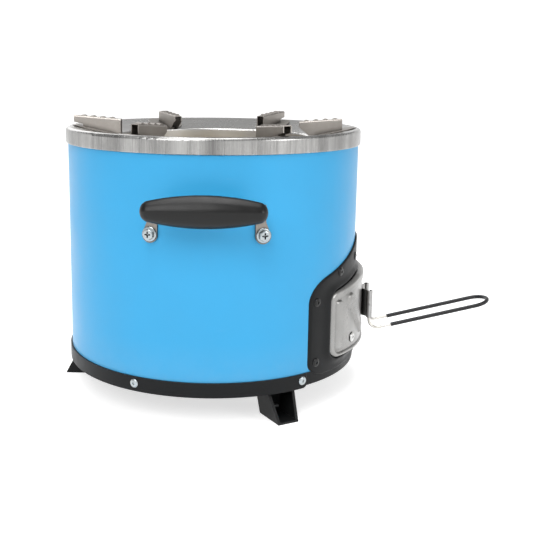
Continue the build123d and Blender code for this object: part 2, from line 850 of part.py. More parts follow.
with BuildPart() as ash_tray:
    with BuildSketch(Plane.XY.offset(tray_floor)):
        add(bay(tray_half_width, tray_back, tray_corner, tray_bow, front_axis))
    extrude(amount=tray_depth)
    with BuildSketch(Plane.XY.offset(tray_floor + tray_sheet)):
        add(bay(
            tray_half_width - tray_sheet,
            tray_back - tray_sheet,
            tray_corner - tray_sheet,
            tray_bow - tray_sheet,
            front_axis,
        ))
    extrude(amount=tray_depth, mode=Mode.SUBTRACT)
    with BuildSketch(Plane.XY.offset(tray_top - tray_roll_height)) as roll:
        add(bay(
            tray_half_width + tray_roll,
            tray_back + tray_roll,
            tray_corner + tray_roll,
            tray_bow,
            front_axis,
        ))
        add(bay(tray_half_width, tray_back, tray_corner, front_reach, front_axis), mode=Mode.SUBTRACT)
    extrude(amount=tray_roll_height)
    with Locations(*front_rivet_planes(tray_bow + overrun), *bracket_rivet_planes(tray_bow + overrun)):
        Hole(small_hole_radius, depth=tray_sheet + 2 * overrun)
save(ash_tray, "ash_tray")


# Drawer front: a pressed panel with a raised rim, a sunk field, ribs and a turned-in edge
def field_outline(margin):
    """Outline of the sunk field, moved out on all sides by a margin."""
    inner_half_width = front_half_width - rim_width
    with BuildSketch(facing(0)) as outline:
        add(front_outline(
            inner_half_width,
            front_bottom + rim_width,
            front_side_top - shoulder_side_step,
            front_flat_half_width,
            front_top - shoulder_top_step,
            field_corner,
            field_corner,
        ))
        if margin:
            offset(amount=margin)
    return outline.sketch


def rib_outlines(margin):
    """Outlines of the side ribs and the slanted ribs, moved in by a margin."""
    side_x = front_half_width - side_rib_inset
    ribs = (
        (
            (side_x, front_bottom + side_rib_bottom_rise),
            (side_x, front_side_top - side_rib_top_drop),
            side_rib_width,
        ),
        (
            (v_rib_foot_x, front_bottom + v_rib_foot_rise),
            (v_rib_top_x, front_side_top - v_rib_top_drop),
            v_rib_width,
        ),
    )
    with BuildSketch(facing(0)) as outlines:
        for (start_x, start_z), (end_x, end_z), width in ribs:
            for side in (-1, 1):
                length = sqrt((end_x - start_x) ** 2 + (end_z - start_z) ** 2)
                lean = degrees(atan2(end_z - start_z, side * (end_x - start_x)))
                with Locations(Location((side * (start_x + end_x) / 2, (start_z + end_z) / 2), lean)):
                    SlotCenterToCenter(length, width - 2 * margin)
    return outlines.sketch


with BuildPart() as tray_front:
    whole = grown_front(0.0)
    inside_rim = grown_front(-rim_width)
    under_edge = grown_front(-front_sheet)
    add(bowed_plate(whole, front_inner_bow, front_bow))
    add(bowed_plate(inside_rim, shoulder_bow, front_bow + overrun), mode=Mode.SUBTRACT)
    add(bowed_plate(field_outline(0.0), field_bow, front_bow + overrun), mode=Mode.SUBTRACT)
    behind_shoulder = between(under_edge, field_outline(front_sheet))
    add(bowed_plate(behind_shoulder, tray_bow - overrun, shoulder_bow - front_sheet), mode=Mode.SUBTRACT)
    behind_rim = between(under_edge, grown_front(front_sheet - rim_width))
    add(bowed_plate(behind_rim, tray_bow - overrun, front_bow - front_sheet), mode=Mode.SUBTRACT)
    add(bowed_plate(rib_outlines(0.0), front_inner_bow, field_bow + rib_height - rib_edge))
    add(bowed_plate(rib_outlines(rib_edge), front_inner_bow, field_bow + rib_height))
    add(bowed_plate(rib_outlines(front_sheet), tray_bow - overrun, field_bow + rib_height - front_sheet),
        mode=Mode.SUBTRACT)
    with BuildPart(mode=Mode.PRIVATE) as edge_flange:
        edge_inner_bow = front_edge_radius - front_axis - overrun
        add(bowed_plate(between(whole, under_edge), edge_inner_bow, front_bow - rim_height))
        with BuildSketch(Plane.XY):
            Circle(front_edge_radius)
        extrude(amount=ring_top, mode=Mode.SUBTRACT)
    add(edge_flange.part)
    with Locations(*front_rivet_planes(front_bow + overrun), *bracket_rivet_planes(front_bow + overrun)):
        Hole(small_hole_radius, depth=rim_height + front_sheet + 2 * overrun)
save(tray_front, "tray_front")

# Rivets that join the tray and its front
with BuildPart() as tray_rivets:
    with Locations(*front_rivet_planes(field_bow + fit_gap)):
        add(rivet(
            front_rivet_head_radius,
            rivet_head_height,
            small_rivet_shank_radius,
            front_sheet + tray_sheet + 3 * fit_gap,
        ))
save(tray_rivets, "tray_rivets")

# Bracket of the wire handle: a plate whose sides are rolled round the wire's upright legs
with BuildPart() as handle_bracket:
    roll_back_y = roll_centre_y + roll_radius
    with BuildSketch(Plane.XY.offset(bracket_bottom)):
        for side in (-1, 1):
            with BuildLine() as strip:
                FilletPolyline(
                    (0, bracket_plate_y),
                    (side * bracket_half_width, bracket_plate_y),
                    (side * (wire_half_pitch - roll_shoulder), roll_back_y),
                    (side * wire_half_pitch, roll_back_y),
                    radius=bracket_bend,
                )
                ThreePointArc(
                    (side * wire_half_pitch, roll_back_y),
                    (side * (wire_half_pitch + roll_radius), roll_centre_y),
                    (side * wire_half_pitch, roll_centre_y - roll_radius),
                )
                ThreePointArc(
                    (side * wire_half_pitch, roll_centre_y - roll_radius),
                    (
                        side * (wire_half_pitch - roll_radius * sin(radians(roll_opening_angle))),
                        roll_centre_y - roll_radius * cos(radians(roll_opening_angle)),
                    ),
                    (side * (wire_half_pitch - roll_radius), roll_centre_y),
                )
            trace(line_width=bracket_sheet)
    extrude(amount=bracket_height)
    crimp_x = wire_half_pitch + roll_radius + bracket_sheet / 2 + crimp_height - crimp_radius
    with Locations(*[(side * crimp_x, roll_centre_y, (bracket_bottom + bracket_top) / 2) for side in (-1, 1)]):
        Sphere(crimp_radius)
    with BuildSketch(Plane.XY.offset(bracket_bottom)):
        with Locations((-wire_half_pitch, roll_centre_y), (wire_half_pitch, roll_centre_y)):
            Circle(wire_radius + wire_bore_gap)
    extrude(amount=bracket_height, mode=Mode.SUBTRACT)
    with Locations(*bracket_rivet_planes(front_bow + overrun)):
        Hole(small_hole_radius, depth=bracket_sheet + front_sheet + 2 * overrun)
save(handle_bracket, "handle_bracket")

# Rivets that hold the bracket through the front and the tray
with BuildPart() as bracket_rivets:
    with Locations(*bracket_rivet_planes(field_bow + bracket_sheet + 2 * fit_gap)):
        add(rivet(
            small_rivet_head_radius,
            small_rivet_head_height,
            small_rivet_shank_radius,
            bracket_sheet + front_sheet + tray_sheet + 4 * fit_gap,
        ))
save(bracket_rivets, "bracket_rivets")


# Wire handle: two upright legs in the rolls, joined by a long loop that rises forwards
def wire_point(x, reach):
    """Point on the sloping part of the wire, at a level distance from the upright legs."""
    return (x, roll_centre_y - reach, wire_corner_z + reach * tan(radians(wire_tilt)))


wire_top = bracket_top - wire_end_inset
wire_tip_reach = wire_reach + wire_half_pitch * cos(radians(wire_tilt))
with BuildPart() as wire_handle:
    with BuildLine():
        FilletPolyline(
            (wire_half_pitch, roll_centre_y, wire_top),
            wire_point(wire_half_pitch, 0.0),
            wire_point(wire_half_pitch, wire_reach),
            radius=wire_bend,
        )
        ThreePointArc(
            wire_point(wire_half_pitch, wire_reach),
            wire_point(0.0, wire_tip_reach),
            wire_point(-wire_half_pitch, wire_reach),
        )
        FilletPolyline(
            wire_point(-wire_half_pitch, wire_reach),
            wire_point(-wire_half_pitch, 0.0),
            (-wire_half_pitch, roll_centre_y, wire_top),
            radius=wire_bend,
        )
    with BuildSketch(Plane(origin=(wire_half_pitch, roll_centre_y, wire_top), z_dir=(0, 0, -1))):
        Circle(wire_radius)
    sweep()
save(wire_handle, "wire_handle")

# Sleeve on the wire handle
with BuildPart() as wire_sleeve:
    with BuildLine():
        Line(wire_point(wire_half_pitch, sleeve_start), wire_point(wire_half_pitch, wire_reach))
        ThreePointArc(
            wire_point(wire_half_pitch, wire_reach),
            wire_point(0.0, wire_tip_reach),
            wire_point(-wire_half_pitch, wire_reach),
        )
        Line(wire_point(-wire_half_pitch, wire_reach), wire_point(-wire_half_pitch, sleeve_start))
    with BuildSketch(Plane(
        origin=wire_point(wire_half_pitch, sleeve_start),
        z_dir=(0, -cos(radians(wire_tilt)), sin(radians(wire_tilt))),
    )):
        Circle(sleeve_outer)
        Circle(sleeve_inner, mode=Mode.SUBTRACT)
    sweep()
save(wire_sleeve, "wire_sleeve")


# Side handles: two lugs each on the shell, bent outwards into a moulded grip
def lug_plane(side, turn, radius, height=0.0):
    """Upright plane of one lug at a radius and height, with X along the lug's width."""
    return facing(side * handle_angle + turn * lug_angle, radius, height)


def lug_strap(side, turn, sheet, extra_reach):
    """Plan of one lug's bent strap with the given sheet, its arm lengthened by a distance."""
    plane = lug_plane(side, turn, lug_seat + lug_sheet / 2)
    edge = plane.from_local_coords((turn * (lug_neck_width / 2 - lug_neck_shift), 0))
    corner = plane.from_local_coords((-turn * (lug_neck_width / 2 + lug_neck_shift + lug_bend), 0))
    arm_reach = grip_reach - grip_end_thickness / 2 + lug_pocket_depth + extra_reach
    with BuildSketch() as strap:
        with BuildLine():
            FilletPolyline(
                (edge.X, edge.Y), (corner.X, corner.Y), (side * arm_reach, corner.Y), radius=lug_bend
            )
        trace(line_width=sheet)
    return strap.sketch


def lug_plate(side, turn):
    """Flat part of one lug on the shell: round below and narrowed to the neck that carries the arm."""
    neck_outer = turn * (lug_neck_width / 2 - lug_neck_shift)
    neck_inner = -turn * (lug_neck_width / 2 + lug_neck_shift)
    with BuildPart() as plate:
        with BuildSketch(lug_plane(side, turn, lug_seat)):
            with Locations((0, lug_eye_z)):
                Circle(lug_width / 2)
            with BuildLine():
                Polyline(
                    (-turn * lug_width / 2, lug_eye_z),
                    (neck_inner, lug_neck_z),
                    (neck_inner, lug_arm_top),
                    (neck_outer, lug_arm_top),
                    (neck_outer, lug_neck_z),
                    (turn * lug_width / 2, lug_eye_z),
                    close=True,
                )
            make_face()
        extrude(amount=lug_sheet)
    return plate.part


def grip_station(along, size):
    """Distance from the grip's middle, height and thickness of one section along it."""
    left = 1 - (along / grip_fullness_share) ** 2
    height = grip_end_height + left * (grip_middle_height - grip_end_height)
    thickness = grip_end_thickness + left * (grip_middle_thickness - grip_end_thickness)
    return (along * grip_half_length, size * height, size * thickness)


def grip_stations():
    """Sections along the whole grip: rounded ends and an evenly stepped middle."""
    caps = [
        (grip_shoulder_share + (1 - grip_shoulder_share) * sin(radians(angle)), cos(radians(angle)))
        for angle in grip_cap_angles
    ]
    steps = [2 * number / grip_step_count - 1 for number in range(grip_step_count + 1)]
    return (
        [grip_station(-along, size) for along, size in reversed(caps)]
        + [grip_station(step * grip_shoulder_share, 1) for step in steps]
        + [grip_station(along, size) for along, size in caps]
    )


upper_section = list(grip_section_shares)
lower_section = [(across, -up) for across, up in reversed(grip_section_shares[1:-1])]
closed_section = upper_section + lower_section + upper_section[:1]

for side, word in ((-1, "left"), (1, "right")):
    with BuildPart() as lugs:
        for turn in (-1, 1):
            add(lug_plate(side, turn))
            with BuildSketch(Plane.XY.offset(lug_arm_bottom)):
                add(lug_strap(side, turn, lug_sheet, 0.0))
            extrude(amount=lug_arm_height)
            with Locations(lug_plane(side, turn, lug_seat + lug_sheet + overrun, lug_bolt_z)):
                Hole(bolt_hole_radius, depth=lug_sheet + 2 * overrun)
    save(lugs, "handle_lugs_" + word)

    with BuildPart() as grip:
        for y, height, thickness in grip_stations():
            middle = Plane(
                origin=(side * grip_reach, y - grip_forward, grip_centre_z),
                x_dir=(side, 0, 0),
                z_dir=(0, -side, 0),
            )
            with BuildSketch(middle):
                with BuildLine():
                    Spline(*[(across * thickness / 2, up * height / 2) for across, up in closed_section])
                make_face()
        loft(ruled=True)
        with BuildSketch(Plane.XY.offset(lug_arm_bottom - fit_gap)):
            for turn in (-1, 1):
                add(lug_strap(side, turn, lug_sheet + 2 * fit_gap, fit_gap))
        extrude(amount=lug_arm_height + 2 * fit_gap, mode=Mode.SUBTRACT)
    save(grip, "side_grip_" + word)

# Bolts of the side handles, with a flanged hexagon head and a crossed recess
with BuildPart() as bolt_shape:
    with BuildSketch(Plane.XY):
        Circle(bolt_flange_radius)
    extrude(amount=bolt_flange_height)
    fillet(bolt_shape.edges().group_by(Axis.Z)[-1], bolt_flange_height / 2)
    with BuildSketch(Plane.XY):
        RegularPolygon(bolt_hex_radius, 6)
    extrude(amount=bolt_head_height)
    with BuildSketch(Plane.XY.offset(bolt_head_height)):
        Rectangle(recess_length, recess_width)
        Rectangle(recess_width, recess_length)
    extrude(amount=-recess_depth, mode=Mode.SUBTRACT)
    with BuildSketch(Plane.XY):
        Circle(bolt_shank_radius)
    extrude(amount=-bolt_length)
with BuildPart() as handle_bolts:
    with Locations(*bolt_planes(bolt_seat)):
        add(bolt_shape.part)
save(handle_bolts, "handle_bolts")

# Nuts of the side handles, inside the shell
with BuildPart() as handle_nuts:
    nut_seat = sqrt(shell_inner ** 2 - nut_hex_radius ** 2) - fit_gap
    for plane in bolt_planes(nut_seat):
        with BuildSketch(plane):
            RegularPolygon(nut_hex_radius, 6)
            Circle(bolt_shank_radius + fit_gap, mode=Mode.SUBTRACT)
        extrude(amount=-nut_height)
save(handle_nuts, "handle_nuts")


# Pot rests: channels with a toothed top on an oval flange that follows the deck
def rest_top(radius):
    """Height of a pot rest's top line at a radius, without its teeth."""
    return ring_top + rest_top_height - (outer_rest_outer - radius) * tan(radians(rest_top_slope))


def rest_seat(radius):
    """Height just above the deck at a radius."""
    return deck_height(radius) + seat_gap


def rest_flange():
    """Oval sheet on the deck under a pot rest."""
    flange_outer = ring_radius - ring_corner
    with BuildPart() as flange:
        with BuildSketch(Plane.XY.offset(mouth_z)):
            with Locations((0, -flange_centre)):
                Ellipse(flange_half_width, flange_half_length)
        extrude(amount=ring_top - mouth_z)
        with BuildSketch(Plane.XZ):
            with BuildLine():
                Polyline(
                    (mouth_radius, rest_seat(mouth_radius)),
                    (flange_outer, rest_seat(flange_outer)),
                    (flange_outer, rest_seat(flange_outer) + flange_sheet),
                    (mouth_radius, rest_seat(mouth_radius) + flange_sheet),
                    close=True,
                )
            make_face()
        revolve(axis=Axis.Z, mode=Mode.INTERSECT)
    return flange.part


def pot_rest(inner, outer, lower_points):
    """Pot rest between two radii, with the lower points of its side as radius and height."""
    top_drop = rest_sheet / cos(radians(rest_top_slope))
    side_points = [(inner, rest_top(inner)), (outer, rest_top(outer))] + lower_points
    with BuildPart() as rest:
        with BuildSketch(Plane.YZ):
            with BuildLine():
                Polyline(*[(-radius, height) for radius, height in side_points], close=True)
            make_face()
        extrude(amount=rest_width / 2, both=True)
        top_edges = rest.faces().sort_by(Axis.Z)[-1].edges()
        fillet(top_edges.sort_by(SortBy.LENGTH)[-2:], rest_corner)
        with BuildSketch(Plane.YZ):
            with BuildLine():
                Polyline(
                    (-inner + overrun, rest_top(inner - overrun) - top_drop),
                    (-outer - overrun, rest_top(outer + overrun) - top_drop),
                    (-outer - overrun, mouth_z - lip_depth),
                    (-inner + overrun, mouth_z - lip_depth),
                    close=True,
                )
            make_face()
        extrude(amount=rest_width / 2 - rest_sheet, both=True, mode=Mode.SUBTRACT)
        tooth_count = int((outer - inner) / tooth_pitch)
        first_tooth = (inner + outer) / 2 - (tooth_count - 1) * tooth_pitch / 2
        with BuildSketch(Plane.YZ):
            for number in range(tooth_count):
                middle = first_tooth + number * tooth_pitch
                start = middle - tooth_length / 2
                end = middle + tooth_length / 2
                with BuildLine():
                    ThreePointArc(
                        (-start, rest_top(start) - tooth_root),
                        (-middle, rest_top(middle) + tooth_height),
                        (-end, rest_top(end) - tooth_root),
                    )
                    Line((-end, rest_top(end) - tooth_root), (-start, rest_top(start) - tooth_root))
                make_face()
        extrude(amount=rest_width / 2 - tooth_inset, both=True)
        add(rest_flange())
    return rest.part


inner_rest_chamfer_end = inner_rest_inner + inner_rest_chamfer
inner_rest = pot_rest(inner_rest_inner, inner_rest_outer, [
    (inner_rest_outer, rest_seat(inner_rest_outer)),
    (inner_rest_chamfer_end, rest_seat(inner_rest_chamfer_end)),
    (inner_rest_inner, rest_top(inner_rest_inner) - inner_rest_nose_height),
])
outer_rest_root = outer_rest_outer - outer_rest_overhang
outer_rest = pot_rest(outer_rest_inner, outer_rest_outer, [
    (outer_rest_outer, rest_top(outer_rest_outer) - outer_rest_tip_height),
    (outer_rest_root, rest_top(outer_rest_root) - outer_rest_root_height),
    (outer_rest_root, rest_seat(outer_rest_root)),
    (outer_rest_inner, rest_seat(outer_rest_inner)),
])
inner_rest_names = ("pot_rest_inner_front", "pot_rest_inner_right", "pot_rest_inner_left")
outer_rest_names = ("pot_rest_outer_right", "pot_rest_outer_rear", "pot_rest_outer_left")
for shape, angles, names in (
    (inner_rest, inner_rest_angles, inner_rest_names),
    (outer_rest, outer_rest_angles, outer_rest_names),
):
    for angle, name in zip(angles, names):
        with BuildPart() as placed_rest:
            with Locations(turned(angle)):
                add(shape)
        save(placed_rest, name)
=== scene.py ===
import math

import bmesh
import bpy
from bpy.props import FloatProperty, FloatVectorProperty, PointerProperty
from bpy.types import Operator, Panel, PropertyGroup
from mathutils import Matrix, Vector


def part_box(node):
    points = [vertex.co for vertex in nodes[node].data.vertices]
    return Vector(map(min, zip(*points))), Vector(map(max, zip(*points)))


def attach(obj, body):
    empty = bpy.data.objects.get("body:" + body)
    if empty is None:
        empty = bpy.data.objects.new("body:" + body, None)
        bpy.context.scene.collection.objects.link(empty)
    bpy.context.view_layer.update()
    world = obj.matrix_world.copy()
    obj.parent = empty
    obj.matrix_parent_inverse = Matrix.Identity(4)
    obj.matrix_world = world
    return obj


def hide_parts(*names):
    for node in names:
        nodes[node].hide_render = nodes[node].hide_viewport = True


bl_info = {
    "name": "Charcoal Cookstove",
    "version": (1, 0, 0),
    "blender": (4, 5, 0),
    "location": "3D View > Sidebar > Cookstove",
    "description": "Finishes and fine pieces of a charcoal cookstove with an ash drawer",
    "category": "Object",
}

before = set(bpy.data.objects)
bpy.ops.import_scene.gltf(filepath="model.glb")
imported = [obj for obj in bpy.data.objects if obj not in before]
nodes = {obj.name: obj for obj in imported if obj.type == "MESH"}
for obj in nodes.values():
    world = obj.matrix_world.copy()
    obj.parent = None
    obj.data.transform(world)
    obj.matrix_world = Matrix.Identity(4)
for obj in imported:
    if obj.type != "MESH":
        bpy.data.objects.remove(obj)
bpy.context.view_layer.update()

drum_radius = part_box("outer_shell")[1].x
sharp_angle = math.radians(38)
edge_samples = 4
# Samples of the painted shade in corners and hollows.
painted_shade_samples = 6
seat_gap = 0.0001
near_rim_share = 0.98
cloud_range = (0.3, 0.7)


def length_property(name, description, default):
    """Size in metres."""
    return FloatProperty(name=name, description=description, default=default, unit="LENGTH", precision=5)


def number_property(name, description, default):
    """Number from nothing upwards."""
    return FloatProperty(name=name, description=description, default=default, min=0.0)


def share_property(name, description, default):
    """Share between nothing and all."""
    return FloatProperty(name=name, description=description, default=default, min=0.0, max=1.0,
                         subtype="FACTOR")


def colour_property(name, description, default):
    """Finish colour."""
    return FloatVectorProperty(name=name, description=description, default=default, min=0.0, max=1.0,
                               size=3, subtype="COLOR")


class CookstovePaintSettings(PropertyGroup):
    """Colours and grain of the painted sheet."""
    drum_colour: colour_property("Drum", "Colour of the painted drum", (0.044, 0.385, 0.720))
    coat_colour: colour_property("Black coat", "Colour of the bezel, pan and feet", (0.009, 0.0095, 0.010))
    peel_size: length_property("Peel size", "Size of the ripples in the drum's paint", 0.0016)
    coat_grain: length_property("Coat grain", "Size of the grain in the black coat", 0.0007)
    drum_gloss: share_property("Drum roughness", "Roughness of the drum's paint", 0.34)


class CookstoveSteelSettings(PropertyGroup):
    """Colours and streaks of the bare metal."""
    ring_colour: colour_property("Top ring", "Colour of the top ring", (0.380, 0.376, 0.368))
    rest_colour: colour_property("Pot rests", "Colour of the pot rests", (0.350, 0.326, 0.302))
    front_colour: colour_property("Drawer front", "Colour of the drawer front", (0.290, 0.286, 0.278))
    zinc_colour: colour_property("Zinc", "Colour of the plated fasteners", (0.370, 0.410, 0.430))
    streak_width: length_property("Streak width", "Width of the brushed streaks", 0.0006)


class CookstoveGripSettings(PropertyGroup):
    """Sizes and colours of the grips and the wire's sleeve."""
    grip_colour: colour_property("Grip", "Colour of the moulded grips", (0.0035, 0.0035, 0.0035))
    sleeve_colour: colour_property("Sleeve", "Colour of the sleeve on the wire", (0.014, 0.014, 0.015))
    grip_grain: length_property("Grip grain", "Size of the grain in the mouldings", 0.0005)
    end_height_share: share_property("End height", "Share of the grip's height left at its ends", 0.57)
    end_depth_share: share_property("End depth", "Share of the grip's thickness left at its ends", 0.65)
    shoulder_share: share_property("Shoulder", "Share of the grip's length before its rounded ends", 0.886)
    fullness_share: share_property("Fullness", "Share of the grip's length over which it swells", 0.94)


class CookstoveFrontSettings(PropertyGroup):
    """Sizes of the drawer front and of the bezel round it."""
    front_side_top: length_property("Front side top", "Height at which the front's sides end", 0.1084)
    front_flat: length_property("Front flat", "Half width of the front's level top", 0.040)
    front_corner: length_property("Front corner", "Corner radius of the front", 0.0095)
    front_axis: length_property("Bow axis", "How far forward the axis of the front's bow lies", 0.0233683)
    front_bow: length_property("Bow", "Radius of the front's bow", 0.1266317)
    sheet: length_property("Front sheet", "Thickness of the front", 0.0008)
    rim_width: length_property("Rim", "Width of the front's raised rim", 0.0032)
    shoulder_sink: length_property("Shoulder sink", "Depth of the shoulder under the rim", 0.0004)
    field_sink: length_property("Field sink", "Depth of the field under the rim", 0.0016)
    shoulder_side: length_property("Shoulder at the side", "Width of the shoulder at its ends", 0.0071)
    shoulder_middle: length_property("Shoulder", "Width of the shoulder at the middle", 0.0081)
    rib_height: length_property("Rib height", "Height of the ribs over the field", 0.0020)
    rib_width: length_property("Side rib", "Width of the side ribs", 0.0085)
    rib_inset: length_property("Side rib inset", "From the front's side to the rib's middle", 0.0086)
    slant_width: length_property("Slanted rib", "Width of the slanted ribs", 0.0115)
    slant_inset: length_property("Slanted rib inset", "From the front's side to the rib's head", 0.0267)
    bezel_side_top: length_property("Bezel side top", "Height at which the bezel's sides end", 0.1190)
    bezel_flat: length_property("Bezel flat", "Half width of the bezel's level top", 0.020)
    bezel_corner: length_property("Bezel corner", "Corner radius of the bezel", 0.013)
    bezel_shoulder: length_property("Bezel shoulder", "Radius of the bezel's shoulders", 0.024)
    bezel_sheet: length_property("Bezel sheet", "Thickness of the bezel", 0.0010)
    curb_height: length_property("Curb", "Height of the bezel's curb", 0.0019)
    opening_lap: length_property("Lap", "How far the front laps over the opening", 0.0045)


class CookstoveStageSettings(PropertyGroup):
    """Light round the stove."""
    floor_width: length_property("Floor", "Width of the floor", 6.0)
    world_strength: number_property("World", "Strength of the even light", 0.48)
    lamp_strength: number_property("Lamps", "Share of the lamps' full power", 1.0)


def settings():
    """The scene's settings of this add-on."""
    return bpy.context.scene


class Finish:
    """A node material being made: each step adds a node and gives back its output."""

    def __init__(self, name, metallic, roughness, **shader_values):
        self.material = bpy.data.materials.new(name)
        self.material.use_nodes = True
        self.tree = self.material.node_tree
        self.shader = self.tree.nodes["Principled BSDF"]
        self.set("Metallic", metallic)
        self.set("Roughness", roughness)
        for socket, value in shader_values.items():
            self.set(socket.replace("_", " "), value)
        self.place = self.step("ShaderNodeTexCoord").outputs["Object"]

    def set(self, socket, value):
        """Give one of the shader's sockets a value or a link."""
        self.plug(self.shader.inputs[socket], value)

    def look(self, colour, roughness, normal):
        """Give the finish its colour, roughness and relief."""
        self.set("Base Color", colour)
        self.set("Roughness", roughness)
        self.set("Normal", normal)
        return self

    def plug(self, socket, value):
        """Give a socket a value or a link."""
        if isinstance(value, bpy.types.NodeSocket):
            self.tree.links.new(value, socket)
        elif socket.type == "RGBA" and len(value) == 3:
            socket.default_value = (*value, 1.0)
        else:
            socket.default_value = value

    def step(self, kind, inputs=None, **values):
        """Add one node."""
        node = self.tree.nodes.new(kind)
        for name, value in values.items():
            setattr(node, name, value)
        for key, value in (inputs or {}).items():
            self.plug(node.inputs[key], value)
        return node

    def sum(self, operation, first, second=0.0, third=0.0):
        """One sum on numbers."""
        node = self.step("ShaderNodeMath", {0: first, 1: second}, operation=operation)
        if operation == "MULTIPLY_ADD":
            self.plug(node.inputs[2], third)
        return node.outputs[0]

    def stretched(self, vector, x, y, z):
        """Coordinates multiplied by three factors."""
        return self.step("ShaderNodeVectorMath", {0: vector, 1: (x, y, z)}, operation="MULTIPLY").outputs[0]

    def noise(self, size, detail=2.0, roughness=0.5, distortion=0.0, vector=None):
        """Clouds of a size in metres, from 0 to 1."""
        return self.step("ShaderNodeTexNoise", {
            "Vector": self.place if vector is None else vector, "Scale": 1.0 / size, "Detail": detail,
            "Roughness": roughness, "Distortion": distortion,
        }).outputs["Fac"]

    def cells(self, size):
        """Cells of a size in metres: the distance from their middles, and their own shades."""
        node = self.step("ShaderNodeTexVoronoi", {"Vector": self.place, "Scale": 1.0 / size})
        return node.outputs["Distance"], node.outputs["Color"]

    def span(self, value, start, end, low=0.0, high=1.0, smooth=False):
        """Carry a number from one range to another, and stop at its ends."""
        return self.step("ShaderNodeMapRange", {
            "Value": value, "From Min": start, "From Max": end, "To Min": low, "To Max": high,
        }, interpolation_type="SMOOTHSTEP" if smooth else "LINEAR").outputs["Result"]

    def swing(self, clouds, low=0.0, high=1.0):
        """Carry clouds to a range, with their rare extremes cut off."""
        return self.span(clouds, *cloud_range, low, high)

    def tint(self, share, first, second, blend="MIX"):
        """Mix two colours."""
        inputs = {0: share, 6: first, 7: second}
        return self.step("ShaderNodeMix", inputs, data_type="RGBA", blend_type=blend).outputs[2]

    def shaded(self, colour, amount, share):
        """Colour made darker and lighter by an amount round itself."""
        low = tuple(max(0.0, c * (1 - amount)) for c in colour)
        high = tuple(min(1.0, c * (1 + amount)) for c in colour)
        return self.tint(share, low, high)

    def bump(self, height, depth, normal=None):
        """Relief with a depth in metres."""
        inputs = {"Height": height, "Distance": depth, "Strength": 1.0}
        if normal is not None:
            inputs["Normal"] = normal
        return self.step("ShaderNodeBump", inputs).outputs["Normal"]

    def soft_edge(self, radius):
        """Normal that rounds the sheet's edges."""
        return self.step("ShaderNodeBevel", {"Radius": radius}, samples=edge_samples).outputs["Normal"]

    def painted_hollow_shade(self, distance, dark):
        """Painted shade: 1 on open faces, falling to a share in corners and hollows of a size, where shade
        falls.
        """
        node = self.step("ShaderNodeAmbientOcclusion", {"Distance": distance}, samples=painted_shade_samples)
        return self.span(node.outputs["AO"], 0.35, 0.95, dark, 1.0)

    def darkened(self, colour, share):
        """Colour multiplied by a share."""
        grey = self.step("ShaderNodeCombineColor", {0: share, 1: share, 2: share}).outputs[0]
        return self.tint(1.0, colour, grey, "MULTIPLY")

    def edge_mask(self, soft):
        """1 on the edges and 0 elsewhere, from a rounded normal."""
        true_normal = self.step("ShaderNodeNewGeometry").outputs["Normal"]
        product = self.step("ShaderNodeVectorMath", {0: soft, 1: true_normal}, operation="DOT_PRODUCT")
        return self.span(product.outputs["Value"], 0.995, 0.80)

    def around(self, radius):
        """Unrolled coordinates: the way round at a radius, the distance from the axis, and the height."""
        parts = self.step("ShaderNodeSeparateXYZ", {0: self.place}).outputs
        angle = self.sum("ARCTAN2", parts["X"], parts["Y"])
        flat = self.step("ShaderNodeCombineXYZ", {0: parts["X"], 1: parts["Y"], 2: 0.0}).outputs[0]
        distance = self.step("ShaderNodeVectorMath", {0: flat}, operation="LENGTH").outputs["Value"]
        way = self.sum("MULTIPLY", angle, radius)
        rolled = self.step("ShaderNodeCombineXYZ", {0: way, 1: distance, 2: parts["Z"]}).outputs[0]
        return rolled, distance, parts["Z"]


def coat(finish, *names):
    """Put a finish on CAD nodes by name."""
    for name in names:
        for slot in nodes[name].material_slots:
            slot.material = finish.material


def smooth_step(value, start, end):
    """0 before a range, 1 after it and a soft rise between."""
    share = min(1.0, max(0.0, (value - start) / (end - start)))
    return share * share * (3 - 2 * share)


def bridge(mesh, before, after, closed=True):
    """Faces between two rings of points, one of which may be a single point."""
    count = max(len(before), len(after))
    for i in range(count if closed else count - 1):
        j = (i + 1) % count
        corners = [before[i % len(before)], before[j % len(before)]]
        corners += [after[j % len(after)], after[i % len(after)]]
        if len(before) == 1:
            corners = corners[1:]
        if len(after) == 1:
            corners = corners[:3]
        mesh.faces.new(corners)


def chain(mesh, rings, closed=True, joined=False):
    """Faces through a row of rings, also between the last and the first where they are joined."""
    for before, after in zip(rings, rings[1:]):
        bridge(mesh, before, after, closed)
    if joined:
        bridge(mesh, rings[-1], rings[0], closed)


def through(points, steps):
    """Smooth line through points, with its own ends."""
    padded = [points[0]] + list(points) + [points[-1]]
    line = []
    for a, b, c, d in zip(padded, padded[1:], padded[2:], padded[3:]):
        for step in range(steps):
            t = step / steps
            line.append(b + 0.5 * t * (c - a + t * (2 * a - 5 * b + 4 * c - d + t * (3 * (b - c) + d - a))))
    return line + [points[-1]]


def solids(name):
    """Points of each separate solid of a CAD node."""
    data = nodes[name].data
    keys = [tuple(round(part, 6) for part in vertex.co) for vertex in data.vertices]
    leader = {key: key for key in keys}

    def first(key):
        while leader[key] != key:
            leader[key] = leader[leader[key]]
            key = leader[key]
        return key

    for edge in data.edges:
        leader[first(keys[edge.vertices[0]])] = first(keys[edge.vertices[1]])
    groups = {}
    for key in leader:
        groups.setdefault(first(key), []).append(nodes[name].matrix_world @ Vector(key))
    return list(groups.values())


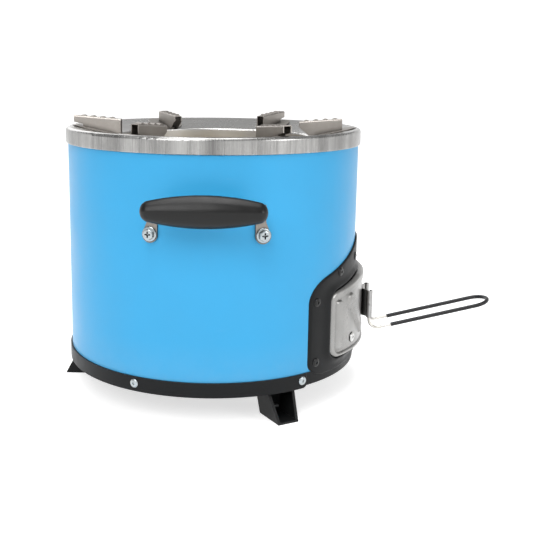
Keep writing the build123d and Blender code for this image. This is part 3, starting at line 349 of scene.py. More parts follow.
class Turned:
    """Place of one solid that was turned about an axis that points outwards from the stove."""

    def __init__(self, points, forward=0.0):
        middle = sum(points, Vector()) / len(points)
        self.axis = Vector((middle.x, middle.y + forward, 0.0)).normalized()
        self.side = Vector((-self.axis.y, self.axis.x, 0.0))
        heights = [(point - middle).dot(self.axis) for point in points]
        reaches = [(point - middle - height * self.axis).length for point, height in zip(points, heights)]
        self.radius = max(reaches)
        places = list(zip(reaches, heights))
        seat = min(height for reach, height in places if reach > near_rim_share * self.radius)
        same_height, tail_drop = 0.0001, 0.0005
        self.origin = middle + seat * self.axis
        self.top = max(heights) - seat
        self.foot = min(heights) - seat
        self.shank = min(reach for reach, height in places if abs(height - seat) < same_height)
        tail = [(reach, height) for reach, height in places if height < seat - tail_drop]
        self.tail_radius = max(reach for reach, height in tail)
        rim_reach = near_rim_share * self.tail_radius
        self.tail_top = max(height for reach, height in tail if reach > rim_reach) - seat

    def point(self, reach, turn, height):
        """Point at a reach, a turn in radians and a height."""
        across = self.side * math.cos(turn) + Vector((0.0, 0.0, 1.0)) * math.sin(turn)
        return self.origin + reach * across + height * self.axis

    def ring(self, mesh, reach, height, count=40):
        """Ring of points, or one point on the axis."""
        if not reach:
            return [mesh.verts.new(self.origin + height * self.axis)]
        return [mesh.verts.new(self.point(reach, math.tau * i / count, height)) for i in range(count)]

    def shank_rings(self, mesh, count=40):
        """Rings of the part behind the head, down to its tail."""
        rim = 0.15 * self.tail_radius
        return [
            self.ring(mesh, reach, height, count)
            for reach, height in (
                (self.shank, 0.0), (self.shank, self.tail_top), (self.tail_radius, self.tail_top),
                (self.tail_radius, self.foot + rim), (self.tail_radius - rim, self.foot), (0.0, self.foot),
            )
        ]


def rivets(name, finish, body, forward=0.0):
    """Blind rivets: a domed head with a rolled rim round the sunk end of its pin."""
    mesh = bmesh.new()
    for points in solids(name):
        rivet = Turned(points, forward)
        reach, top = rivet.radius, rivet.top
        pin = 0.27 * reach
        head = (
            (0.0, 0.48 * top), (0.6 * pin, 0.46 * top), (0.92 * pin, 0.40 * top), (pin, 0.55 * top),
            (1.06 * pin, 0.92 * top), (1.22 * pin, top), (0.46 * reach, 0.985 * top),
            (0.62 * reach, 0.90 * top), (0.77 * reach, 0.74 * top), (0.89 * reach, 0.50 * top),
            (0.965 * reach, 0.28 * top), (reach, 0.12 * top), (0.985 * reach, 0.0),
        )
        rings = [rivet.ring(mesh, *place) for place in head]
        chain(mesh, rings + rivet.shank_rings(mesh))
    return fitted(name, mesh, finish, body)


def flanged_bolts(name, finish):
    """Flanged hexagon bolts with a chamfered head and a crossed recess."""
    mesh = bmesh.new()
    count, face_rings = 96, 20
    slot_soft, arm_soft = (-0.0001, 0.0002), 0.0004
    flange_shares = ((0.84, 1.0), (0.93, 0.92), (0.985, 0.66), (1.0, 0.34), (0.99, 0.0))
    for points in solids(name):
        bolt = Turned(points)
        flange, top = bolt.radius, bolt.top
        flat = 0.655 * flange
        face = 0.86 * flat
        flange_top = 0.30 * top
        recess_depth = 0.62 * top
        arm, slot_half = 0.42 * flange, 0.085 * flange

        def turned_ring(point_at):
            return [mesh.verts.new(point_at(math.tau * i / count)) for i in range(count)]

        def hexagon(turn):
            return flat / math.cos((turn + math.pi / 6) % (math.pi / 3) - math.pi / 6)

        def recess(reach, turn):
            x, z = abs(reach * math.cos(turn)), abs(reach * math.sin(turn))
            along, across = max(x, z), min(x, z)
            out = along / arm
            wall = smooth_step(slot_half * (1.3 - 0.5 * out) - across, *slot_soft)
            return recess_depth * wall * smooth_step(arm - along, 0.0, arm_soft) * (1 - 0.35 * out)

        rings = [bolt.ring(mesh, 0.0, 0.38 * top)]
        for step in range(1, face_rings + 1):
            reach = face * step / face_rings
            rings.append(turned_ring(lambda turn: bolt.point(reach, turn, top - recess(reach, turn))))
        rings.append(turned_ring(
            lambda turn: bolt.point(hexagon(turn), turn, top - 0.5 * (hexagon(turn) - face))))
        rings.append(turned_ring(lambda turn: bolt.point(hexagon(turn), turn, flange_top)))
        for share, lift in flange_shares:
            rings.append(bolt.ring(mesh, share * flange, lift * flange_top, count))
        chain(mesh, rings + bolt.shank_rings(mesh, count))
    return fitted(name, mesh, finish, "stove")


def line_distance(point, start, end):
    """Distance of a point from the line between two others."""
    along = (end - start).normalized()
    reach = min((end - start).length, max(0.0, (point - start).dot(along)))
    return (point - start - reach * along).length


class Outline:
    """Rounded outline seen from the front: level bottom, upright sides, sloping shoulders, level top."""

    def __init__(self, half_width, bottom, side_top, flat, top, corner, shoulder_corner=None):
        run, rise = half_width - flat, top - side_top
        across, up = rise / math.hypot(run, rise), run / math.hypot(run, rise)
        shoulder = across * half_width + up * side_top - corner
        side = half_width - corner
        self.bottom, self.top, self.corner = bottom, top, corner
        self.half_width = half_width
        self.lean = math.atan2(up, across)
        self.points = [
            Vector((0.0, bottom + corner)),
            Vector((side, bottom + corner)),
            Vector((side, (shoulder - across * side) / up)),
            Vector(((shoulder - up * (top - corner)) / across, top - corner)),
            Vector((0.0, top - corner)),
        ]
        wide = corner if shoulder_corner is None else shoulder_corner
        shoulder += corner - wide
        self.radii = (corner, corner, wide, corner, corner)
        self.centres = list(self.points)
        self.centres[2] = Vector((half_width - wide, (shoulder - across * (half_width - wide)) / up))

    def depth(self, x, z):
        """Distance inside the outline, all its corners taken alike, and negative outside it."""
        point = Vector((abs(x), z))
        beyond, nearest = -1.0, 1.0
        for start, end in zip(self.points, self.points[1:]):
            along = (end - start).normalized()
            beyond = max(beyond, (point - start).dot(Vector((along.y, -along.x))))
            nearest = min(nearest, line_distance(point, start, end))
        return self.corner - (nearest if beyond > 0 else beyond)

    def half_width_at(self, z, margin):
        """Half width at a height, of the outline moved in by a margin."""
        low, high, halvings = 0.0, self.half_width, 26
        for _ in range(halvings):
            middle = (low + high) / 2
            if self.depth(middle, z) > margin:
                low = middle
            else:
                high = middle
        return low

    def loop(self, margin):
        """Points round the outline moved out by a margin, the same number for any margin."""
        turns = (-math.pi / 2, 0.0, self.lean, math.pi / 2)
        side_steps, arc_steps = (34, 24, 24, 14), 12
        reaches = [radius + margin for radius in self.radii]
        half = []
        for number, (start, end) in enumerate(zip(self.centres, self.centres[1:])):
            way = Vector((math.cos(turns[number]), math.sin(turns[number])))
            first, last = start + reaches[number] * way, end + reaches[number + 1] * way
            steps = side_steps[number]
            half += [first.lerp(last, i / steps) for i in range(steps)]
            if number < 3:
                span = turns[number + 1] - turns[number]
                bends = [turns[number] + span * i / arc_steps for i in range(arc_steps)]
                half += [end + reaches[number + 1] * Vector((math.cos(a), math.sin(a))) for a in bends]
        half.append(self.centres[-1] + Vector((0.0, reaches[-1])))
        return half + [Vector((-point.x, point.y)) for point in reversed(half[1:-1])]


def front_outline():
    """Outline of the drawer front."""
    sizes = settings().cookstove_front
    low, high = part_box("tray_front")
    return Outline(high.x, low.z, sizes.front_side_top, sizes.front_flat, high.z, sizes.front_corner)


def bezel_outline():
    """Outline of the bezel."""
    sizes = settings().cookstove_front
    low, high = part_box("door_bezel")
    return Outline(high.x, low.z, sizes.bezel_side_top, sizes.bezel_flat, high.z, sizes.bezel_corner,
                   sizes.bezel_shoulder)


def slot_depth(x, z, start, end, width):
    """Distance inside a rib with round ends on either side of the middle."""
    return width / 2 - line_distance(Vector((abs(x), z)), start, end)


def pressed_front(finish):
    """Drawer front: rim, sunk shoulder and field, side ribs, slanted ribs and a turned-in edge."""
    sizes = settings().cookstove_front
    outline = front_outline()
    back_radius = bezel_face() + seat_gap
    field = Outline(
        outline.half_width - sizes.rim_width, outline.bottom + sizes.rim_width,
        sizes.front_side_top - sizes.shoulder_side, sizes.front_flat, outline.top - sizes.shoulder_middle,
        sizes.front_corner - sizes.rim_width,
    )
    rib_x = outline.half_width - sizes.rib_inset
    slant_foot_x, slant_head_x = 0.0330, outline.half_width - sizes.slant_inset
    foot_rise, head_drop, slant_foot_rise, slant_head_drop = 0.0106, 0.0125, 0.0153, 0.0114
    ribs = (
        (Vector((rib_x, outline.bottom + foot_rise)), Vector((rib_x, sizes.front_side_top - head_drop)),
         sizes.rib_width),
        (Vector((slant_foot_x, outline.bottom + slant_foot_rise)),
         Vector((slant_head_x, sizes.front_side_top - slant_head_drop)), sizes.slant_width),
    )
    field_step = sizes.field_sink - sizes.shoulder_sink
    roll_low, roll_more, roll_blend, edge_gap = 0.0020, 0.0024, 0.02, 0.0003
    rim_soft, field_soft, rib_soft = (-0.0010, 0.0006), (-0.0005, 0.0010), (-0.0002, 0.0015)

    def back_y(x):
        return math.sqrt(back_radius ** 2 - x * x)

    def sink(x, z):
        inside = outline.depth(x, z)
        past_rim = inside - sizes.rim_width
        depth = sizes.shoulder_sink * smooth_step(past_rim, *rim_soft)
        depth += field_step * smooth_step(field.depth(x, z), *field_soft)
        rib = max(smooth_step(slot_depth(x, z, *rib), *rib_soft) for rib in ribs)
        depth -= sizes.rib_height * rib
        room = sizes.front_bow - math.hypot(back_y(x) - sizes.front_axis, x) - edge_gap
        high = smooth_step(z, sizes.front_side_top - roll_blend, sizes.front_side_top)
        roll = min(room, roll_low + roll_more * high)
        if inside < roll:
            depth += roll - math.sqrt(roll ** 2 - (roll - max(inside, 0.0)) ** 2)
        return depth

    edge_shares = (0.0, 0.015, 0.06, 0.14, 0.25, 0.39, 0.56, 0.78, 1.0, 1.25)
    edge = [sizes.rim_width * share for share in edge_shares]
    up_count, across_count = 100, 208

    def grid(margin):
        low, high = outline.bottom + margin, outline.top - margin
        corner = sizes.front_corner
        heights = [low + corner * (1 - math.cos(math.radians(a))) for a in range(0, 90, 6)]
        start, end = low + corner, high - edge[-1]
        heights += [start + (end - start) * i / up_count for i in range(up_count)]
        heights += [high - step for step in reversed(edge)]
        rows = []
        for z in heights:
            half = outline.half_width_at(z, margin)
            inner = half - edge[-1]
            places = [-half + step for step in edge[:-1]]
            places += [-inner + 2 * inner * i / across_count for i in range(across_count + 1)]
            places += [half - step for step in reversed(edge[:-1])]
            rows.append([(x, z) for x in places])
        return rows

    mesh = bmesh.new()
    faces = []

    def front_y(x, z, margin):
        return -sizes.front_axis - math.sqrt((sizes.front_bow - sink(x, z) - margin) ** 2 - x * x)

    for margin in (0.0, sizes.sheet):
        faces.append([
            [mesh.verts.new((x, front_y(x, z, margin), z)) for x, z in row] for row in grid(margin)
        ])
        chain(mesh, faces[-1], closed=False)

    def border(rows):
        right, left = [row[-1] for row in rows[1:-1]], [row[0] for row in rows[-2:0:-1]]
        return rows[0] + right + rows[-1][::-1] + left

    edges = [border(rows) for rows in faces]
    turned = [
        [mesh.verts.new((vertex.co.x, -back_y(vertex.co.x), vertex.co.z)) for vertex in ring]
        for ring in edges
    ]
    chain(mesh, [edges[0], turned[0], turned[1], edges[1]])
    return fitted("tray_front", mesh, finish, "drawer")


def bezel_face():
    """Radius of the bezel's outer face beside its curb."""
    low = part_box("door_bezel")[0]
    return -low.y - settings().cookstove_front.curb_height


def pressed_bezel(finish):
    """Bezel: a plate bent round the drum with a soft curb and an edge turned in."""
    sizes = settings().cookstove_front
    front, bezel = front_outline(), bezel_outline()
    face, sheet = bezel_face(), sizes.bezel_sheet
    drum_gap = face - sheet - drum_radius
    skirt_slack, drum_clearance = 0.0002, 0.00005
    skirt_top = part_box("base_pan")[1].z + skirt_slack
    curb = sizes.curb_height
    rise = (
        (-sizes.opening_lap, 0.0), (0.0, 0.0), (0.00075, 0.0), (0.00095, 0.26 * curb),
        (0.0012, 0.62 * curb), (0.0016, 0.88 * curb), (0.0022, curb), (0.0030, 0.93 * curb),
        (0.0040, 0.68 * curb), (0.0052, 0.36 * curb), (0.0066, 0.12 * curb), (0.0080, 0.0),
    )
    last = front.loop(rise[-1][0])
    rim = bezel.loop(-sheet)

    def between(share):
        return [a.lerp(b, share) for a, b in zip(last, rim)]

    profile = [(front.loop(margin), lift) for margin, lift in rise]
    plate_shares, edge_angles = (0.33, 0.67), (0, 22, 45, 68, 90)
    profile += [(between(share), 0.0) for share in plate_shares]
    profile += [(bezel.loop(-sheet * (1 - math.sin(turn))), -sheet * (1 - math.cos(turn)))
                for turn in (math.radians(angle) for angle in edge_angles)]
    profile += [(bezel.loop(0.0), None), (rim, None), (rim, -sheet)]
    profile += [(between(share), -sheet) for share in reversed(plate_shares)]
    profile += [(front.loop(margin), lift - sheet) for margin, lift in reversed(rise)]
    mesh = bmesh.new()
    rings = []
    for loop, lift in profile:
        ring = []
        for point in loop:
            down = -sheet if point.y < skirt_top else -sheet - drum_gap + drum_clearance
            radius = face + (down if lift is None else lift)
            ring.append(mesh.verts.new((point.x, -math.sqrt(radius ** 2 - point.x ** 2), point.y)))
        rings.append(ring)
    chain(mesh, rings, joined=True)
    return fitted("door_bezel", mesh, finish, "stove")


def moulded_grip(word, finish):
    """Grip: a bellied bar with a ridge along its outer face and rounded ends."""
    grips = settings().cookstove_grips
    name = "side_grip_" + word
    low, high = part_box(name)
    middle = (low + high) / 2
    half_length, half_height, half_depth = ((high - low) / 2).yzx
    outward = 1.0 if middle.x > 0 else -1.0
    end_height, end_depth = grips.end_height_share * half_height, grips.end_depth_share * half_depth
    shoulder = grips.shoulder_share
    section_shares = (
        (0.995, 0.150), (0.90, 0.36), (0.62, 0.70), (0.08, 1.0), (-0.66, 0.74), (-1.0, 0.0),
        (-0.66, -0.74), (0.08, -1.0), (0.66, -0.70), (0.92, -0.24), (1.0, 0.115),
    )
    section_steps, body_steps, tip_share = 5, 20, 0.9999
    section = through([Vector(place) for place in section_shares], section_steps)
    caps = [math.radians(angle) for angle in (90, 82, 74, 66, 57, 48, 38, 28, 18, 9)]
    stations = [(-(shoulder + (1 - shoulder) * math.sin(turn)), math.cos(turn)) for turn in caps]
    stations += [(shoulder * (i / body_steps - 1), 1.0) for i in range(2 * body_steps + 1)]
    stations += [(-along, size) for along, size in reversed(stations[:len(caps)])]
    mesh = bmesh.new()
    rings = []
    for along, size in stations:
        left = max(0.0, 1 - (along / grips.fullness_share) ** 2)
        height = size * (end_height + left * (half_height - end_height))
        depth = size * (end_depth + left * (half_depth - end_depth))
        if abs(along) > tip_share:
            rings.append([mesh.verts.new(middle + Vector((0.0, along * half_length, 0.0)))])
            continue
        swell = Vector((outward * depth, along * half_length, height))
        rings.append([
            mesh.verts.new(middle + Vector((place.x * swell.x, swell.y, place.y * swell.z)))
            for place in section
        ])
    chain(mesh, rings)
    return fitted(name, mesh, finish, "stove")


def fitted(name, mesh, finish, body):
    """Finished piece on its body, in place of the CAD node of its name."""
    piece = mesh_object("fine_" + name, mesh)
    piece.data.materials.append(finish.material)
    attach(piece, body)
    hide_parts(name)
    return piece


def drum_paint():
    """Blue powder coat with soft ripples, faint clouds and a few fine rubbed streaks."""
    paint = settings().cookstove_paint
    made = Finish("drum_blue_paint", 0.0, paint.drum_gloss, Specular_IOR_Level=0.32)
    rolled, _, height = made.around(drum_radius)
    clouds = made.noise(0.045, 3.0)
    rubbed = made.noise(0.004, 4.0, 0.65, vector=made.stretched(rolled, 0.16, 1.0, 1.0))
    rubbed = made.span(rubbed, 0.66, 0.74)
    low = made.span(height, 0.075, 0.035)
    dust = made.sum("MULTIPLY", low, made.noise(0.012, 5.0, 0.7))
    colour = made.shaded(paint.drum_colour, 0.035, clouds)
    pale = tuple(0.86 * c + 0.08 for c in paint.drum_colour)
    colour = made.tint(made.sum("MULTIPLY", rubbed, 0.22), colour, pale)
    colour = made.tint(made.sum("MULTIPLY", dust, 0.16), colour, (0.42, 0.47, 0.50))
    gloss = made.swing(clouds, paint.drum_gloss - 0.04, paint.drum_gloss + 0.05)
    peel = made.noise(paint.peel_size, 1.5, 0.45)
    broad = made.noise(0.012, 1.0)
    relief = made.sum("MULTIPLY_ADD", broad, 1.6, peel)
    return made.look(colour, made.sum("MULTIPLY_ADD", rubbed, 0.12, gloss), made.bump(relief, 0.00004))


def black_coat(name, worn):
    """Black powder coat: fine grain, clouds in its gloss, and edges rubbed paler."""
    paint = settings().cookstove_paint
    made = Finish(name, 0.0, 0.42, Specular_IOR_Level=0.14)
    soft = made.soft_edge(0.0006)
    clouds = made.noise(0.020, 4.0, 0.6)
    breaks = made.span(made.noise(0.0035, 5.0, 0.7), 0.42, 0.62)
    edges = made.sum("MULTIPLY", made.edge_mask(soft), breaks)
    colour = made.shaded(paint.coat_colour, 0.25, clouds)
    specks = made.span(made.noise(0.0016, 2.0), 0.72, 0.80)
    colour = made.tint(made.sum("MULTIPLY", specks, 0.25), colour, (0.09, 0.09, 0.09))
    colour = made.tint(made.sum("MULTIPLY", edges, worn), colour, (0.20, 0.20, 0.20))
    grain = made.noise(paint.coat_grain, 2.0, 0.6)
    return made.look(colour, made.swing(clouds, 0.36, 0.50), made.bump(grain, 0.00003, soft))


def glossy_black():
    """Glossy black enamel of the bezel's rivets."""
    paint = settings().cookstove_paint
    made = Finish("rivet_black_enamel", 0.0, 0.22, Specular_IOR_Level=0.30)
    soft = made.soft_edge(0.0002)
    clouds = made.noise(0.002, 3.0, 0.6)
    colour = made.shaded(tuple(0.4 * c for c in paint.coat_colour), 0.4, clouds)
    grain = made.noise(paint.coat_grain, 2.0)
    return made.look(colour, made.swing(clouds, 0.18, 0.30), made.bump(grain, 0.00001, soft))


def brushed(made, vector, colour, streaks, wear, normal=None, depth=0.000012, dark=0.72,
            calm=1.0, shade=None):
    """Brushed face on a finish: streaks run along the vector's first direction; a shade share, where given,
    multiplies the colour as painted light and shade.
    """
    width = settings().cookstove_steel.streak_width
    fine = made.noise(width, 3.0, 0.7, vector=made.stretched(vector, 0.02, 1.0, 1.0))
    broad = made.noise(width * 14, 3.0, 0.6, vector=made.stretched(vector, 0.05, 1.0, 1.0))
    both = made.sum("MULTIPLY_ADD", broad, 0.45, made.sum("MULTIPLY", fine, 0.55))
    both = made.sum("MULTIPLY_ADD", made.sum("SUBTRACT", both, 0.5), calm, 0.5)
    smears = made.noise(0.018, 4.0, 0.6)
    face = made.tint(
        made.span(smears, 0.35, 0.75, 0.0, wear),
        made.shaded(colour, streaks, made.swing(both)),
        tuple(c * dark for c in colour),
    )
    rough = made.shader.inputs["Roughness"].default_value
    uneven = made.swing(both, rough - 0.06, rough + 0.06)
    made.look(
        face if shade is None else made.darkened(face, shade),
        made.sum("MULTIPLY_ADD", made.swing(smears), 0.07, uneven),
        made.bump(both, depth, normal),
    )
    return both


def turned_vector(made, vector, order):
    """Coordinates with their parts taken in another order."""
    parts = made.step("ShaderNodeSeparateXYZ", {0: vector}).outputs
    turned = {i: parts[letter] for i, letter in enumerate(order)}
    return made.step("ShaderNodeCombineXYZ", turned).outputs[0]


def ring_steel():
    """Stainless top ring: upright streaks on its wall and lines round its deck, with painted reflection
    patches on the wall and a painted lighter deck.
    """
    steel = settings().cookstove_steel
    made = Finish("ring_stainless", 1.0, 0.24)
    rolled, distance, _ = made.around(drum_radius)
    inner, outer = drum_radius - 0.0016, drum_radius - 0.0004
    wall = made.span(distance, inner, outer, smooth=True)
    upright = turned_vector(made, rolled, "ZXY")
    round_deck = turned_vector(made, rolled, "XYZ")
    along = made.step("ShaderNodeMix", {0: wall, 4: round_deck, 5: upright}, data_type="VECTOR").outputs[1]
    # Painted reflection: broad patches along the way round darken or lighten the wall, as of its
    # surroundings mirrored in it.
    painted_reflection_patches = made.noise(0.042, 2.0, 0.6, vector=made.stretched(rolled, 1.0, 0.0, 0.0))
    # Painted light: the deck is made a quarter lighter than the wall, as if lit from above.
    painted_deck_light = made.span(wall, 0.0, 1.0, 1.25, 0.0)
    brushed(
        made, along, steel.ring_colour, 0.42, 0.5, depth=0.00002, dark=0.66,
        calm=made.span(wall, 0.0, 1.0, 0.25, 1.0),
        shade=made.sum("MAXIMUM", made.span(painted_reflection_patches, 0.36, 0.56, 0.66, 1.04), painted_deck_light),
    )
    return made


def sheet_steel(name, colour, roughness, order="XYZ", wear=0.3, depth=0.000012):
    """Stainless sheet brushed along one direction, with soft edges and painted shade darkening its corners
    and hollows.
    """
    made = Finish(name, 1.0, roughness)
    edge, streaks = made.soft_edge(0.0004), 0.12
    # Painted shade: the colour falls to 15 % in corners and hollows within 5 mm.
    brushed(made, turned_vector(made, made.place, order), colour, streaks, wear, edge, depth,
            shade=made.painted_hollow_shade(0.005, 0.15))
    return made


def hot_steel():
    """Fire chamber sheet: brushed round, with the tints that heat leaves."""
    made = Finish("chamber_stainless", 1.0, 0.34)
    rolled, _, height = made.around(0.095)
    both = brushed(made, rolled, (0.55, 0.53, 0.50), 0.10, 0.3)
    wander = made.sum("MULTIPLY_ADD", made.noise(0.03, 3.0), 0.04, height)
    band = made.step("ShaderNodeValToRGB", {"Fac": made.span(wander, 0.165, 0.265)})
    stops = ((0.0, (0.30, 0.27, 0.25)), (0.35, (0.36, 0.30, 0.30)), (0.55, (0.52, 0.42, 0.28)),
             (0.8, (0.58, 0.54, 0.46)), (1.0, (0.60, 0.58, 0.55)))
    ramp = band.color_ramp.elements
    ramp[0].position, ramp[0].color = stops[0][0], (*stops[0][1], 1.0)
    ramp[1].position, ramp[1].color = stops[-1][0], (*stops[-1][1], 1.0)
    for position, colour in stops[1:-1]:
        ramp.new(position).color = (*colour, 1.0)
    streaks = made.tint(both, (0.7, 0.7, 0.7), (1.0, 1.0, 1.0))
    made.set("Base Color", made.tint(0.35, band.outputs["Color"], streaks, "MULTIPLY"))
    return made


def galvanised():
    """Galvanised sheet with its crystal pattern."""
    made = Finish("galvanised_sheet", 1.0, 0.42)
    soft = made.soft_edge(0.0004)
    _, shade = made.cells(0.007)
    grey = made.step("ShaderNodeSeparateColor", {0: shade}).outputs[0]
    clouds = made.noise(0.03, 4.0, 0.6)
    crystals = made.tint(grey, (0.40, 0.41, 0.42), (0.52, 0.53, 0.54))
    return made.look(
        made.tint(made.span(clouds, 0.4, 0.8, 0.0, 0.5), crystals, (0.36, 0.36, 0.35)),
        made.span(grey, 0.0, 1.0, 0.34, 0.52),
        made.bump(made.noise(0.002, 3.0), 0.00002, soft),
    )


def cast_iron():
    """Sand-cast iron: coarse skin, pits and rusty shadows."""
    made = Finish("cast_iron_skin", 0.4, 0.68)
    skin = made.noise(0.0012, 5.0, 0.7)
    pits, _ = made.cells(0.0028)
    rust = made.span(made.noise(0.011, 5.0, 0.65), 0.55, 0.72)
    colour = made.shaded((0.060, 0.056, 0.053), 0.4, skin)
    relief = made.sum("MULTIPLY_ADD", made.span(pits, 0.0, 0.35), 0.8, skin)
    return made.look(
        made.tint(made.sum("MULTIPLY", rust, 0.4), colour, (0.13, 0.065, 0.035)),
        made.swing(skin, 0.58, 0.8),
        made.bump(relief, 0.00016),
    )


def blanket():
    """Ceramic fibre blanket: pale matted fibres."""
    made = Finish("fibre_blanket_wool", 0.0, 0.95)
    mat = made.noise(0.010, 6.0, 0.7, 1.2)
    fibres = made.noise(0.0007, 4.0, 0.7, 2.0, vector=made.stretched(made.place, 1.0, 1.0, 0.12))
    return made.look(
        made.tint(mat, (0.70, 0.67, 0.61), (0.86, 0.85, 0.81)),
        made.swing(fibres, 0.88, 1.0),
        made.bump(made.sum("MULTIPLY_ADD", mat, 2.0, fibres), 0.0005),
    )


def plated(name, colour, roughness, tinge=(0.62, 0.58, 0.46)):
    """Plated fastener: bright, clouded, with a faint warm tinge in places, and painted shade darkening its
    recesses.
    """
    made = Finish(name, 1.0, roughness)
    soft = made.soft_edge(0.00025)
    clouds = made.noise(0.003, 4.0, 0.6)
    face = made.tint(made.span(clouds, 0.5, 0.75, 0.0, 0.35), colour, tinge)
    # Painted shade: the colour falls to 30 % in recesses and corners within 1.8 mm.
    return made.look(
        made.darkened(face, made.painted_hollow_shade(0.0018, 0.30)),
        made.swing(clouds, roughness - 0.05, roughness + 0.10),
        made.bump(made.noise(0.0006, 2.0), 0.00001, soft),
    )


def moulded(name, colour, roughness, grain):
    """Moulded black plastic: spark grain, and flow clouds in its colour and roughness."""
    made = Finish(name, 0.0, roughness, Specular_IOR_Level=0.30)
    clouds = made.noise(0.016, 4.0, 0.6)
    return made.look(
        made.shaded(colour, 0.3, clouds),
        made.swing(clouds, roughness - 0.05, roughness + 0.07),
        made.bump(made.noise(grain, 2.5, 0.6), 0.000025),
    )


class COOKSTOVE_OT_drum(Operator):
    """Paint the drum"""
    bl_idname = "cookstove.drum"
    bl_label = "Drum"

    def execute(self, context):
        coat(drum_paint(), "outer_shell")
        return {"FINISHED"}


class COOKSTOVE_OT_base(Operator):
    """Coat the pan, its band and the feet, and finish their rivets"""
    bl_idname = "cookstove.base"
    bl_label = "Base"

    def execute(self, context):
        coat(black_coat("base_black_coat", 0.35), "base_pan", "base_band", "foot_front_left",
             "foot_front_right", "foot_rear")
        zinc = plated("rivet_zinc", context.scene.cookstove_steel.zinc_colour, 0.24)
        coat(zinc, "foot_rivets", "runner_rivets")
        rivets("base_rivets", zinc, "stove")
        return {"FINISHED"}


class COOKSTOVE_OT_top(Operator):
    """Finish the top ring and the pot rests"""
    bl_idname = "cookstove.top"
    bl_label = "Top ring and pot rests"

    def execute(self, context):
        steel = context.scene.cookstove_steel
        coat(ring_steel(), "top_ring")
        rests = [name for name in nodes if name.startswith("pot_rest_")]
        coat(sheet_steel("rest_stainless", steel.rest_colour, 0.36, wear=0.45), *rests)
        return {"FINISHED"}


class COOKSTOVE_OT_hearth(Operator):
    """Finish the fire chamber and what lies round and under it"""
    bl_idname = "cookstove.hearth"
    bl_label = "Hearth"

    def execute(self, context):
        coat(hot_steel(), "fire_chamber")
        coat(galvanised(), "inner_jacket", "baffle_plate", "ash_box", "drawer_runner_left",
             "drawer_runner_right")
        coat(cast_iron(), "charcoal_grate")
        coat(blanket(), "insulation")
        return {"FINISHED"}


class COOKSTOVE_OT_bezel(Operator):
    """Coat the bezel round the drawer and its rivets"""
    bl_idname = "cookstove.bezel"
    bl_label = "Bezel"

    def execute(self, context):
        pressed_bezel(black_coat("bezel_black_coat", 0.30))
        rivets("bezel_rivets", glossy_black(), "stove")
        return {"FINISHED"}


class COOKSTOVE_OT_drawer(Operator):
    """Finish the tray, its front and the bracket"""
    bl_idname = "cookstove.drawer"
    bl_label = "Ash drawer"

    def execute(self, context):
        steel = context.scene.cookstove_steel
        front = steel.front_colour
        pressed_front(sheet_steel("front_stainless", front, 0.27, depth=0.000004))
        coat(sheet_steel("tray_stainless", tuple(0.9 * c for c in front), 0.38, wear=0.5), "ash_tray")
        coat(sheet_steel("bracket_steel", (0.36, 0.355, 0.35), 0.34, "ZXY"), "handle_bracket")
        steel_rivet = plated("front_rivet_steel", (0.55, 0.55, 0.54), 0.26)
        coat(steel_rivet, "bracket_rivets")
        forward = context.scene.cookstove_front.front_axis
        rivets("tray_rivets", steel_rivet, "drawer", forward)
        return {"FINISHED"}


class COOKSTOVE_OT_wire(Operator):
    """Finish the wire handle and its sleeve"""
    bl_idname = "cookstove.wire"
    bl_label = "Wire handle"

    def execute(self, context):
        grips = context.scene.cookstove_grips
        coat(plated("drawn_wire", (0.58, 0.56, 0.53), 0.28), "wire_handle")
        coat(moulded("wire_sleeve_vinyl", grips.sleeve_colour, 0.36, 0.0012), "wire_sleeve")
        return {"FINISHED"}


class COOKSTOVE_OT_side_handles(Operator):
    """Finish the lugs, bolts, nuts and grips of the side handles"""
    bl_idname = "cookstove.side_handles"
    bl_label = "Side handles"

    def execute(self, context):
        grips = context.scene.cookstove_grips
        zinc = context.scene.cookstove_steel.zinc_colour
        lug_zinc = plated("lug_zinc", (0.22, 0.200, 0.180), 0.30, (0.18, 0.15, 0.12))
        coat(lug_zinc, "handle_lugs_left", "handle_lugs_right")
        bolt_zinc = plated("bolt_zinc", zinc, 0.20, (0.40, 0.37, 0.30))
        coat(bolt_zinc, "handle_nuts")
        flanged_bolts("handle_bolts", bolt_zinc)
        moulding = moulded("grip_moulding", grips.grip_colour, 0.34, grips.grip_grain)
        for word in ("left", "right"):
            moulded_grip(word, moulding)
        return {"FINISHED"}


